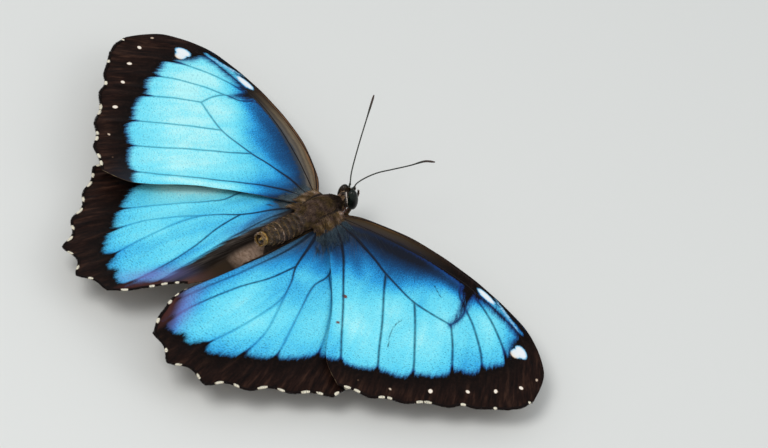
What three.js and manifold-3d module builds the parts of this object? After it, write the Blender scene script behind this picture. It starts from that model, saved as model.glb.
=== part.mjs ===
// A blue morpho butterfly at rest with its wings spread, life size, in millimetres.
// X runs to its right, Y to its head and Z up. It is built about the point midway between
// the forewing hinges and then set down with the middle of its footprint at the origin.
import * as THREE from "three";
import { mergeVertices } from "three/addons/utils/BufferGeometryUtils.js";
import Module from "manifold-3d";

const HINGE_HEIGHT = 11.5; // forewing hinges over the surface it stands on
const WING_THICKNESS = 0.56;
const GAP = 0.3; // left between neighbouring pieces

const FOREWING = {
  hinge: [3.0, -1.5, 0.0],
  sweep: { left: -2.0, right: 2.0 }, // degrees forward
  droop: { left: 1.6, right: 4.7 }, // degrees below level
  lead: [[0.8, -1.0], [5.1, 2.8], [15.2, 7.9], [27.5, 10.9], [40.3, 11.9], [50.6, 10.8], [59.6, 5.9],
    [64.0, -2.2]],
  veinEnds: [[64.0, -2.2], [62.4, -8.2], [58.2, -14.0], [54.1, -19.3], [47.7, -26.8], [42.0, -32.4],
    [35.6, -35.7]],
  scallop: [-0.5, 0.1, 0.8, 0.7, 0.6, 0.3],
  trail: [[1.5, -7.0], [9.1, -12.6], [19.1, -21.6], [28.1, -32.2], [35.6, -35.7]],
  along: 10,
  across: 30,
};

const HINDWING = {
  hinge: [2.8, -6.0, -0.9],
  sweep: { left: 1.6, right: -1.6 },
  droop: { left: 7.2, right: 5.8 },
  lead: [[0.9, 1.3], [6.0, 3.1], [13.8, 1.2], [23.8, -4.0], [31.8, -11.4], [36.7, -18.6], [39.3, -24.5]],
  veinEnds: [[39.3, -24.5], [39.0, -30.9], [33.6, -38.4], [28.0, -46.4], [22.0, -53.9], [12.8, -57.5],
    [4.8, -55.1], [0.2, -47.3], [-4.2, -38.4]],
  scallop: [0.3, 0.7, 1.1, 1.2, 1.8, 1.0, -0.5, 0.2],
  trail: [[0.95, -4.6], [-1.2, -7.4], [-4.2, -13.0], [-4.4, -24.0], [-4.5, -33.0], [-4.2, -38.4]],
  crease: [[1.25, 0], [1.25, -16], [1.15, -20], [0.7, -27.5], [0.1, -35], [-0.3, -41.2]],
  along: 9,
  across: 40,
};

// The gutter that the hindwings make for the abdomen: distance in from the crease, and slope there in
// degrees. The left wing turns in to be its floor, and the right one hangs as its other wall.
const GUTTER = {
  left: { slopes: [[0, 0], [1.1, 80], [2.6, 80], [4.0, 15], [9.0, 12]], width: [1.2, 0.75], bend: [1, 0.3] },
  right: { slopes: [[0, 0], [1.1, 80], [3.4, 84], [9.0, 70]], width: [0.9, 0.5], bend: [1, 0.9] },
};
const GUTTER_FULL_TO = -27; // behind this the gutter grows narrow and shallow
const GUTTER_END = -40;

const COLOURS = {
  wingBlue: 0x3fa9de,
  cuticle: 0x2a211b,
  hair: 0x4a3c2e,
  abdomen: 0x53402f,
  eye: 0x0c1512,
  antenna: 0x1d2a1b,
  palp: 0x6b5a48,
  proboscis: 0xa2532a,
  clasper: 0x8a6a35,
};

const SIDES = { left: -1, right: 1 };
const radians = THREE.MathUtils.degToRad;
const vec = (x, y, z) => new THREE.Vector3(x, y, z);

const wasm = await Module();
wasm.setup();

// A closed surface through rings of points, each end drawn in to the middle of its ring.
function closedLoft(rings) {
  const sides = rings[0].length;
  const points = rings.flat();
  const faces = [];
  for (let i = 0; i + 1 < rings.length; i++) {
    for (let j = 0; j < sides; j++) {
      const a = i * sides + j;
      const b = i * sides + ((j + 1) % sides);
      faces.push(a, b, b + sides, a, b + sides, a + sides);
    }
  }
  for (const end of [0, rings.length - 1]) {
    const middle = vec(0, 0, 0);
    rings[end].forEach((point) => middle.addScaledVector(point, 1 / sides));
    const tip = points.push(middle) - 1;
    for (let j = 0; j < sides; j++) {
      const a = end * sides + j;
      const b = end * sides + ((j + 1) % sides);
      faces.push(...(end === 0 ? [b, a, tip] : [a, b, tip]));
    }
  }
  const geometry = new THREE.BufferGeometry().setFromPoints(points);
  geometry.setIndex(faces);
  return geometry;
}

// A body section: rings across the Y axis, each given as [y, middle height, half width, half height].
function trunk(stations, sides) {
  const rings = stations.map(([y, z, halfWidth, halfHeight]) => {
    const ring = [];
    for (let j = 0; j < sides; j++) {
      const turn = (2 * Math.PI * j) / sides;
      ring.push(vec(halfWidth * Math.sin(turn), y, z + halfHeight * Math.cos(turn)));
    }
    return ring;
  });
  return closedLoft(rings);
}

// A round limb along a curve, its radius a function of the share of its length.
function limb(curve, radiusAt, steps, sides) {
  const frames = curve.computeFrenetFrames(steps, false);
  const rings = [];
  for (let i = 0; i <= steps; i++) {
    const middle = curve.getPointAt(i / steps);
    const radius = radiusAt(i / steps);
    const ring = [];
    for (let j = 0; j < sides; j++) {
      const turn = (2 * Math.PI * j) / sides;
      const point = middle.clone();
      point.addScaledVector(frames.normals[i], radius * Math.cos(turn));
      point.addScaledVector(frames.binormals[i], radius * Math.sin(turn));
      ring.push(point);
    }
    rings.push(ring);
  }
  return closedLoft(rings);
}

// A limb of straight lengths, mitred at each joint; each stop is [x, y, z, radius].
function jointed(stops, sides) {
  const centres = stops.map(([x, y, z]) => vec(x, y, z));
  const lengths = centres.slice(1).map((point, i) => point.clone().sub(centres[i]).normalize());
  const first = lengths[0];
  let normal = vec(0, 0, 1).addScaledVector(first, -first.z).normalize();
  const rings = [];
  for (let i = 0; i < stops.length; i++) {
    const before = lengths[Math.max(i - 1, 0)];
    const after = lengths[Math.min(i, lengths.length - 1)];
    const mitre = before.clone().add(after).normalize();
    const across = vec(0, 0, 0).crossVectors(before, normal);
    const ring = [];
    for (let j = 0; j < sides; j++) {
      const turn = (2 * Math.PI * j) / sides;
      const offset = normal.clone().multiplyScalar(Math.cos(turn)).addScaledVector(across, Math.sin(turn));
      offset.multiplyScalar(stops[i][3]);
      offset.addScaledVector(before, -offset.dot(mitre) / before.dot(mitre));
      ring.push(centres[i].clone().add(offset));
    }
    rings.push(ring);
    normal = normal.addScaledVector(after, -normal.dot(after)).normalize();
  }
  return closedLoft(rings);
}

function plainGeometry(geometry) {
  const plain = geometry.clone();
  plain.deleteAttribute("normal");
  plain.deleteAttribute("uv");
  return mergeVertices(plain, 1e-4);
}

function solidOf(geometry) {
  const plain = plainGeometry(geometry);
  const vertProperties = new Float32Array(plain.attributes.position.array);
  const triVerts = new Uint32Array(plain.index.array);
  return new wasm.Manifold(new wasm.Mesh({ numProp: 3, vertProperties, triVerts }));
}

function geometryOf(solid) {
  const { vertProperties, triVerts } = solid.getMesh();
  const geometry = new THREE.BufferGeometry();
  geometry.setAttribute("position", new THREE.BufferAttribute(new Float32Array(vertProperties), 3));
  geometry.setIndex(new THREE.BufferAttribute(new Uint32Array(triVerts), 1));
  return geometry;
}

function cut(geometry, tools) {
  return geometryOf(tools.reduce((solid, tool) => solid.subtract(solidOf(tool)), solidOf(geometry)));
}

function smooth(points) {
  return new THREE.SplineCurve(points.map(([x, y]) => new THREE.Vector2(x, y)));
}

// A value read from a list of [place, value] stops that run one way.
function between(stops, place) {
  const rising = stops[stops.length - 1][0] > stops[0][0];
  const beyond = stops.findIndex(([stop]) => (rising ? stop >= place : stop <= place));
  if (beyond === 0) return stops[0][1];
  if (beyond < 0) return stops[stops.length - 1][1];
  const [from, to] = [stops[beyond - 1], stops[beyond]];
  return THREE.MathUtils.mapLinear(place, from[0], to[0], from[1], to[1]);
}

// The outer margin runs from vein end to vein end and draws in between them.
function marginPoint(wing, share) {
  const reach = share * wing.scallop.length;
  const space = Math.min(Math.floor(reach), wing.scallop.length - 1);
  const from = new THREE.Vector2(...wing.veinEnds[space]);
  const to = new THREE.Vector2(...wing.veinEnds[space + 1]);
  const inward = new THREE.Vector2(to.y - from.y, from.x - to.x).normalize();
  const dip = wing.scallop[space] * (0.5 - 0.5 * Math.cos(2 * Math.PI * (reach - space)));
  return from.lerp(to, reach - space).addScaledVector(inward, dip);
}

// A point of the flat wing, by its share of the way out and its share from leading to trailing edge.
function flatPoint(wing, out, back) {
  const lead = smooth(wing.lead);
  const trail = smooth(wing.trail);
  const edges = lead.getPoint(out).lerp(trail.getPoint(out), back);
  const chord = lead.getPoint(1).lerp(trail.getPoint(1), back);
  return edges.addScaledVector(marginPoint(wing, back).sub(chord), out);
}

// The hindwing turns down inside its crease and in under the abdomen.
function foldPoint(wing, side, flat) {
  if (!wing.crease) return vec(flat.x, flat.y, 0);
  const creaseX = between(wing.crease.map(([x, y]) => [y, x]), flat.y);
  const { slopes, width, bend } = GUTTER[side];
  const waning = THREE.MathUtils.smoothstep(-flat.y, -GUTTER_FULL_TO, -GUTTER_END);
  const inside = (creaseX - flat.x) * THREE.MathUtils.lerp(...width, waning);
  if (inside <= 0) return vec(flat.x, flat.y, 0);
  const share = THREE.MathUtils.lerp(...bend, waning);
  const steps = 24;
  const folded = vec(creaseX, flat.y, 0);
  for (let i = 0; i < steps; i++) {
    const slope = radians(share * between(slopes, ((i + 0.5) / steps) * inside));
    folded.x -= (Math.cos(slope) * inside) / steps;
    folded.z -= (Math.sin(slope) * inside) / steps;
  }
  return folded;
}

function wingPoint(wing, side, out, back) {
  const point = foldPoint(wing, side, flatPoint(wing, out, back));
  point.applyAxisAngle(vec(0, 0, 1), radians(wing.sweep[side]));
  point.applyAxisAngle(vec(0, 1, 0), radians(wing.droop[side]));
  point.add(vec(...wing.hinge));
  point.x *= SIDES[side];
  return point;
}

// A wing as a thin plate, half its thickness either side of the middle surface.
function wingPlate(wing, side) {
  const columns = wing.across + 1;
  const nudge = 0.01;
  const faces = [];
  const points = [];
  for (const face of [1, -1]) {
    for (let i = 0; i <= wing.along; i++) {
      for (let j = 0; j < columns; j++) {
        const out = i / wing.along;
        const back = j / wing.across;
        const at = wingPoint(wing, side, out, back);
        const outward = wingPoint(wing, side, Math.min(out + nudge, 1), back);
        outward.sub(wingPoint(wing, side, Math.max(out - nudge, 0), back));
        const backward = wingPoint(wing, side, out, Math.min(back + nudge, 1));
        backward.sub(wingPoint(wing, side, out, Math.max(back - nudge, 0)));
        const normal = backward.cross(outward).normalize().multiplyScalar(SIDES[side]);
        points.push(at.addScaledVector(normal, (face * WING_THICKNESS) / 2));
      }
    }
  }
  const under = (wing.along + 1) * columns;
  for (let i = 0; i < wing.along; i++) {
    for (let j = 0; j < wing.across; j++) {
      const a = i * columns + j;
      const b = a + columns;
      faces.push(a, a + 1, b + 1, a, b + 1, b);
      faces.push(under + a, under + b + 1, under + a + 1, under + a, under + b, under + b + 1);
    }
  }
  const edge = [];
  for (let j = 0; j < wing.across; j++) edge.push(j);
  for (let i = 0; i < wing.along; i++) edge.push(i * columns + wing.across);
  for (let j = wing.across; j > 0; j--) edge.push(wing.along * columns + j);
  for (let i = wing.along; i > 0; i--) edge.push(i * columns);
  edge.forEach((a, k) => {
    const b = edge[(k + 1) % edge.length];
    faces.push(a, under + a, b, b, under + a, under + b);
  });
  if (side === "left") faces.reverse();
  const geometry = new THREE.BufferGeometry().setFromPoints(points);
  geometry.setIndex(faces);
  return geometry;
}

// Thorax: the deep middle of the body, from the waist to the collar behind the head.
const THORAX = [
  [-11.2, -0.4, 2.3, 2.4], [-10.6, -0.35, 2.65, 2.85], [-8.6, -0.2, 3.1, 3.35], [-5.6, -0.3, 3.2, 3.5],
  [-3.0, -0.55, 2.95, 3.2], [-1.2, -0.85, 2.5, 2.75], [-0.1, -1.1, 2.0, 2.2], [0.4, -1.2, 1.5, 1.7],
];

// Abdomen: eight rings behind the waist, a little raised toward its blunt end.
const ABDOMEN_START = -11.55;
const ABDOMEN_END = -22.7;
const ABDOMEN_RINGS = 8;

function abdomenStations() {
  const stations = [[ABDOMEN_START, -0.45, 2.35, 2.35]];
  for (let i = 0; i <= ABDOMEN_RINGS; i++) {
    const share = i / ABDOMEN_RINGS;
    const y = THREE.MathUtils.lerp(ABDOMEN_START - 0.45, ABDOMEN_END, share);
    const girth = 2.55 + 0.26 * Math.sin(Math.PI * Math.min(share * 1.2, 1)) - 0.36 * share ** 3;
    stations.push([y, -0.45 + 1.2 * share, girth, girth]);
  }
  stations.push([ABDOMEN_END - 0.45, 0.8, 1.7, 1.8]);
  return stations.reverse();
}

// Claspers: the short cup of the male's hind end, open to the rear.
const CLASPER_RADIUS = 1.7;
const CLASPER_DEPTH = 1.1;

function claspers() {
  const wall = 0.55;
  const profile = [
    [0.0, 0.5], [CLASPER_RADIUS - wall, 0.5], [CLASPER_RADIUS - wall, CLASPER_DEPTH],
    [CLASPER_RADIUS - wall / 2, CLASPER_DEPTH + 0.15], [CLASPER_RADIUS, CLASPER_DEPTH - 0.1],
    [CLASPER_RADIUS, 0.2], [CLASPER_RADIUS - 0.4, 0.0], [0.0, 0.0],
  ];
  return new THREE.LatheGeometry(profile.map(([x, y]) => new THREE.Vector2(x, y)).reverse(), 18);
}

// Head: a rounded capsule with a bulging eye set in a hollow on each side.
const HEAD = { middle: [0.25, 2.8, -0.75], halfWidth: 1.95, halfLength: 1.8, halfHeight: 2.5 };
const HEAD_TILT = 8; // degrees about the Y axis, the left side lower
const EYE = { out: 1.5, ahead: 0.1, up: 0.25, halfWidth: 1.2, halfLength: 1.45, halfHeight: 2.6, lean: 8 };

function ellipsoid(halfWidth, halfLength, halfHeight, around, along) {
  const geometry = new THREE.SphereGeometry(1, around, along);
  return geometry.scale(halfWidth, halfLength, halfHeight);
}

function eyeball(side, grown) {
  const size = [EYE.halfWidth + grown, EYE.halfLength + grown, EYE.halfHeight + grown];
  const geometry = ellipsoid(...size, 14, 11);
  geometry.rotateY(radians(-SIDES[side] * EYE.lean));
  geometry.translate(SIDES[side] * EYE.out, EYE.ahead, EYE.up);
  return geometry.rotateY(radians(-HEAD_TILT)).translate(...HEAD.middle);
}

function head() {
  const capsule = ellipsoid(HEAD.halfWidth, HEAD.halfLength, HEAD.halfHeight, 16, 12);
  capsule.rotateY(radians(-HEAD_TILT)).translate(...HEAD.middle);
  return cut(capsule, [eyeball("left", GAP), eyeball("right", GAP)]);
}

// Antennae: the left one is nearly straight, the right one rises and then bends outward.
const ANTENNAE = {
  left: [[-0.7, 3.8, 2.05], [-2.45, 5.6, 3.2], [-5.7, 10.0, 6.4], [-8.8, 14.6, 9.8], [-11.6, 18.8, 13.0]],
  right: [[0.6, 3.9, 2.2], [0.5, 4.4, 2.8], [0.9, 5.8, 3.9], [2.5, 8.1, 6.0], [4.8, 10.4, 7.9],
    [7.5, 13.0, 10.1], [9.6, 15.2, 12.0], [11.3, 16.5, 12.5]],
};
const ANTENNA_RADIUS = 0.25;
const CLUB_RADIUS = 0.32;

function antenna(side) {
  const curve = new THREE.CatmullRomCurve3(ANTENNAE[side].map((point) => vec(...point)));
  const swell = (share) => THREE.MathUtils.smoothstep(share, 0.7, 0.9) * (CLUB_RADIUS - ANTENNA_RADIUS);
  return limb(curve, (share) => ANTENNA_RADIUS + swell(share), 18, 6);
}

function palp(side) {
  const route = [[0.7, 5.2, -2.4], [0.75, 5.8, -1.4], [0.65, 6.1, -0.3], [0.55, 6.0, 0.8]];
  const curve = new THREE.CatmullRomCurve3(route.map(([x, y, z]) => vec(SIDES[side] * x, y, z)));
  return limb(curve, (share) => 0.48 - 0.22 * share, 7, 8);
}

// Proboscis: a flat coil carried under the face.
const COIL = { middle: [0, 3.7, -5.15], turns: 2.1, outer: 1.3, inner: 0.35, radius: 0.26 };

function proboscis() {
  class Coil extends THREE.Curve {
    getPoint(share, target = vec(0, 0, 0)) {
      const turn = 2 * Math.PI * COIL.turns * share + Math.PI / 2;
      const reach = THREE.MathUtils.lerp(COIL.outer, COIL.inner, share);
      const [x, y, z] = COIL.middle;
      return target.set(x, y + reach * Math.cos(turn), z + reach * Math.sin(turn));
    }
  }
  return limb(new Coil(), (share) => COIL.radius - 0.06 * share, 34, 6);
}

// Legs: coxa, femur, tibia and a tarsus that lies along the ground with a flat sole, as [x, y, z, radius].
const LEGS = {
  fore: [[0.9, -0.9, -4.4, 0.42], [1.3, 0.6, -5.0, 0.4], [1.5, 2.3, -4.9, 0.34], [1.1, 3.6, -4.7, 0.26]],
  mid: [[1.5, -4.6, -4.45, 0.55], [3.2, -4.6, -5.3, 0.5], [8.2, -2.4, -4.9, 0.36],
    [11.2, 0.6, -10.9, 0.3], [11.8, 1.3, -11.3, 0.32], [15.0, 5.4, -11.35, 0.27]],
  hind: [[1.5, -8.4, -4.3, 0.55], [3.1, -9.2, -5.5, 0.5], [7.9, -13.2, -5.6, 0.36],
    [11.0, -19.4, -10.9, 0.3], [11.4, -20.3, -11.3, 0.32], [13.6, -27.2, -11.35, 0.27]],
};

function leg(pair, side) {
  const geometry = jointed(LEGS[pair].map(([x, y, z, radius]) => [SIDES[side] * x, y, z, radius]), 8);
  const place = geometry.attributes.position;
  for (let i = 0; i < place.count; i++) place.setZ(i, Math.max(place.getZ(i), -HINGE_HEIGHT));
  return geometry;
}

const butterfly = new THREE.Group();
const stand = new THREE.Group();
butterfly.add(stand);

function addPart(name, geometry, color, roughness) {
  const material = new THREE.MeshStandardMaterial({ color, roughness, metalness: 0 });
  const mesh = new THREE.Mesh(geometry, material);
  mesh.name = name;
  stand.add(mesh);
  return mesh;
}

addPart("thorax", trunk(THORAX, 22), COLOURS.hair, 0.9);
addPart("abdomen", trunk(abdomenStations(), 22), COLOURS.abdomen, 0.85);
addPart("head", head(), COLOURS.hair, 0.9);
addPart("proboscis", proboscis(), COLOURS.proboscis, 0.4);
const cup = addPart("claspers", claspers(), COLOURS.clasper, 0.6);
cup.rotation.x = radians(-173);
cup.position.set(0, ABDOMEN_END - 0.65 - GAP, 0.85);
for (const side of Object.keys(SIDES)) {
  addPart(`eye_${side}`, eyeball(side, 0), COLOURS.eye, 0.15);
  addPart(`antenna_${side}`, antenna(side), COLOURS.antenna, 0.5);
  addPart(`palp_${side}`, palp(side), COLOURS.palp, 0.9);
  addPart(`forewing_${side}`, wingPlate(FOREWING, side), COLOURS.wingBlue, 0.35);
  addPart(`hindwing_${side}`, wingPlate(HINDWING, side), COLOURS.wingBlue, 0.35);
  for (const pair of Object.keys(LEGS)) addPart(`${pair}leg_${side}`, leg(pair, side), COLOURS.cuticle, 0.6);
}

const size = new THREE.Box3().setFromObject(stand);
stand.position.set(-(size.min.x + size.max.x) / 2, -(size.min.y + size.max.y) / 2, -size.min.z);

export default butterfly;
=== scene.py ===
import math

import bpy
import numpy as np
from mathutils import Matrix, Vector
from mathutils.geometry import delaunay_2d_cdt


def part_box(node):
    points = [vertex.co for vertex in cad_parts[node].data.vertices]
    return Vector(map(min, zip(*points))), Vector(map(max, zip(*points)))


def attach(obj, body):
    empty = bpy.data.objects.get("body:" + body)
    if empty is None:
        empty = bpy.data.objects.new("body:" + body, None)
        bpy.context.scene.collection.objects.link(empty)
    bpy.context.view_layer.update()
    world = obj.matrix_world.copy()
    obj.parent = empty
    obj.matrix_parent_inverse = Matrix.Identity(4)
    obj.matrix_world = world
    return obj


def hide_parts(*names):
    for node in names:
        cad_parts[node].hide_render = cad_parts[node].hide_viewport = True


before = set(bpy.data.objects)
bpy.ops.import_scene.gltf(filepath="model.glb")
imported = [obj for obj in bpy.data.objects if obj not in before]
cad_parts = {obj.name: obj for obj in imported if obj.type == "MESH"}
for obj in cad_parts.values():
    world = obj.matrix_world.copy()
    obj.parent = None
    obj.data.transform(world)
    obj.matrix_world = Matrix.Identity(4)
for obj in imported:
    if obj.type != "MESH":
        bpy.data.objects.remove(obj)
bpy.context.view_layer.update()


# --- Camera ---------------------------------------------------------------------------
# A long lens looks down from behind the insect's right shoulder, rolled so that its body
# runs up to the right. All places below are in millimetres from the point midway between
# the forewing hinges, 11.5 mm over the surface, and go to metres as each mesh is made.
HINGE_HEIGHT = 0.0115
HINGES_BEHIND_CHEST = 0.0004
CAMERA_REACH = 1.2
CAMERA_AZIMUTH, CAMERA_ELEVATION, CAMERA_ROLL = 37.35, 45.05, 13.9
AIM_RIGHT, AIM_UP = 0.01027, -0.00554
LENS, SENSOR = 250.97, 36

chest_low, chest_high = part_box("thorax")
HINGES = Vector(((chest_low.x + chest_high.x) / 2, chest_high.y - HINGES_BEHIND_CHEST, HINGE_HEIGHT))

azimuth, elevation, roll = (math.radians(a) for a in (CAMERA_AZIMUTH, CAMERA_ELEVATION, CAMERA_ROLL))
level = math.cos(elevation)
toward_camera = Vector((math.sin(azimuth) * level, -math.cos(azimuth) * level, math.sin(elevation)))
level_right = Vector((math.cos(azimuth), math.sin(azimuth), 0))
level_up = toward_camera.cross(level_right)
view_right = level_right * math.cos(roll) + level_up * math.sin(roll)
view_up = level_up * math.cos(roll) - level_right * math.sin(roll)

camera = bpy.data.objects.new("camera", bpy.data.cameras.new("camera"))
bpy.context.scene.collection.objects.link(camera)
bpy.context.scene.camera = camera
camera.location = HINGES + toward_camera * CAMERA_REACH
back = (camera.location - HINGES - view_right * AIM_RIGHT - view_up * AIM_UP).normalized()
across = (view_right - back * view_right.dot(back)).normalized()
camera.rotation_mode = "QUATERNION"
camera.rotation_quaternion = Matrix((across, back.cross(across), back)).transposed().to_quaternion()
camera.data.sensor_width = SENSOR
camera.data.lens = LENS
camera.data.clip_start = 0.05
camera.data.clip_end = 20


# --- Wings ----------------------------------------------------------------------------
# Four thin membranes stiffened by veins and shingled with scales: above a bright blue that is pale in
# the middle, partly as painted iridescent sheen and shade, and edged with black-brown and white marks,
# below brown with rings.
# Each hangs from a hinge on the thorax, and the hindwings fold to a trough for the abdomen.
SIDES = {"left": -1, "right": 1}
MEMBRANE = 0.13
MESH_STEP = 0.5
FRINGE = 0.45
VEIN_SIDES = 6
SAG, PLEAT, WAVE = 0.13, 0.16, 0.06

FOREWING = {
    "name": "forewing",
    "hinge": (3.0, -1.5, 0.0),
    "sweep": {"left": -2.0, "right": 2.0},
    "droop": {"left": 1.6, "right": 4.7},
    "lead": [(0.8, -1.0), (5.1, 2.8), (15.2, 7.9), (27.5, 10.9), (40.3, 11.9), (50.6, 10.8), (59.6, 5.9),
             (64.0, -2.2)],
    "vein_ends": [(64.0, -2.2), (62.4, -8.2), (58.2, -14.0), (54.1, -19.3), (47.7, -26.8), (42.0, -32.4),
                  (35.6, -35.7)],
    "scallop": [-0.5, 0.1, 0.8, 0.7, 0.6, 0.3],
    "trail": [(1.5, -7.0), (9.1, -12.6), (19.1, -21.6), (28.1, -32.2), (35.6, -35.7)],
    "crease": None,
    # course of each vein, with its half width at the start and at the end
    "veins": [
        ([(0.9, -1.6), (5.1, 2.2), (10.1, 5.4), (20.2, 8.8), (30.2, 10.6), (40.3, 11.4), (50.4, 10.1)],
         0.36, 0.14),
        ([(1.3, -3.3), (8.1, -3.2), (14.1, -3.7), (18.9, -4.5), (23.7, -4.8), (28.5, -4.8), (33.2, -3.7),
          (37.8, -2.3)], 0.34, 0.14),
        ([(37.8, -2.3), (37.6, 1.0), (36.2, 3.9), (33.2, 5.2), (31.2, 7.5)], 0.15, 0.17),
        ([(2.1, -1.5), (12.1, 3.2), (22.2, 6.8), (30.2, 8.7), (36.3, 9.2), (44.3, 9.3), (49.3, 8.8),
          (56.4, 5.1), (61.2, 1.2), (63.8, -2.2)], 0.32, 0.1),
        ([(34.8, 8.1), (40.3, 6.9), (44.8, 5.2), (48.8, 3.3), (53.3, 0.3), (58.3, -4.7), (62.0, -8.1)],
         0.16, 0.1),
        ([(36.2, 3.9), (40.3, 2.1), (44.3, -0.2), (48.3, -3.0), (52.3, -6.9), (57.9, -13.7)], 0.16, 0.1),
        ([(37.8, -2.3), (41.2, -5.2), (44.7, -8.7), (48.7, -13.0), (53.8, -19.0)], 0.16, 0.1),
        ([(28.5, -4.8), (32.2, -8.2), (37.2, -13.3), (42.2, -18.7), (47.4, -26.4)], 0.17, 0.1),
        ([(18.9, -4.5), (22.1, -8.2), (28.1, -14.6), (33.6, -21.0), (37.1, -25.0), (41.8, -32.1)],
         0.18, 0.1),
        ([(1.6, -4.1), (6.1, -6.4), (10.1, -9.4), (15.1, -14.3), (20.1, -19.2), (26.1, -25.5), (31.1, -30.6),
          (35.3, -35.3)], 0.28, 0.12),
    ],
    # inner edge of the dark border, from the leading edge to the trailing edge
    "border": [(49.8, 12.5), (49.5, 10.0), (49.2, 8.0), (49.6, 6.0), (50.9, 3.6), (52.8, 0.8), (52.4, -1.0),
               (51.2, -3.8), (50.9, -6.4), (49.8, -8.8), (47.8, -10.4), (47.8, -12.1), (46.3, -15.6),
               (44.0, -18.1), (43.2, -20.2), (41.7, -22.4), (38.6, -24.6), (36.4, -26.8), (33.6, -29.5),
               (31.1, -30.8), (28.4, -32.9), (26.0, -36.0)],
    # a loop round everything beyond that edge
    "outside": [(60, -50), (90, 0), (60, 30)],
    # dark bars that reach in from the leading edge: places along each, with its half width there
    "bars": {
        "right": [[(32.0, 10.2, 2.1), (33.2, 8.2, 1.4), (34.7, 5.6, 0.55), (36.2, 3.2, 0.15),
                   (37.3, 0.4, 0.0), (37.8, -2.4, -0.2)],
                  [(34.0, 8.5, 0.6), (38.0, 9.2, 0.15), (44.3, 9.3, 0.05), (48.0, 8.9, 0.2),
                   (49.3, 8.6, 0.35)]],
        "left": [[(32.2, 10.2, 2.1), (33.3, 7.9, 0.95), (34.5, 5.9, 0.1), (35.2, 4.6, -0.4)],
                 [(34.0, 8.5, 0.45), (38.0, 9.2, -0.05), (44.3, 9.3, -0.2), (48.0, 8.9, 0.0),
                  (49.3, 8.6, 0.25)]],
    },
    # white marks: middle, half length, half width, turn in degrees, strength
    "marks": [
        ((36.5, 10.4), 2.8, 0.70, 0, 1.0), ((43.2, 10.5), 5.8, 0.42, -12, 0.46),
        ((52.3, 5.8), 2.0, 1.05, -16, 1.0), ((51.9, 4.7), 1.35, 1.35, 0, 0.95),
        ((59.9, 3.2), 0.5, 0.34, 120, 0.5), ((59.4, -1.3), 0.55, 0.45, 0, 1.0),
        ((56.8, -6.9), 0.62, 0.42, 130, 0.95), ((53.3, -12.3), 0.52, 0.46, 0, 0.95),
        ((48.4, -19.3), 0.66, 0.5, 120, 0.95), ((42.8, -26.5), 0.42, 0.36, 0, 0.55),
        ((37.0, -30.8), 0.3, 0.28, 0, 0.3),
    ],
    # pale fringe dashes: where along the margin, from 0 at the apex to 1 at the inner corner, and
    # half length
    "dashes": [(0.018, 0.006), (0.238, 0.009), (0.412, 0.014), (0.577, 0.013), (0.608, 0.013),
               (0.737, 0.010), (0.773, 0.014), (0.902, 0.015), (0.955, 0.016)],
    "rings_below": [((44.5, 2.2), 2.1), ((44.0, -6.3), 2.3), ((40.6, -13.6), 3.3), ((35.4, -22.0), 2.3)],
}

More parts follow.
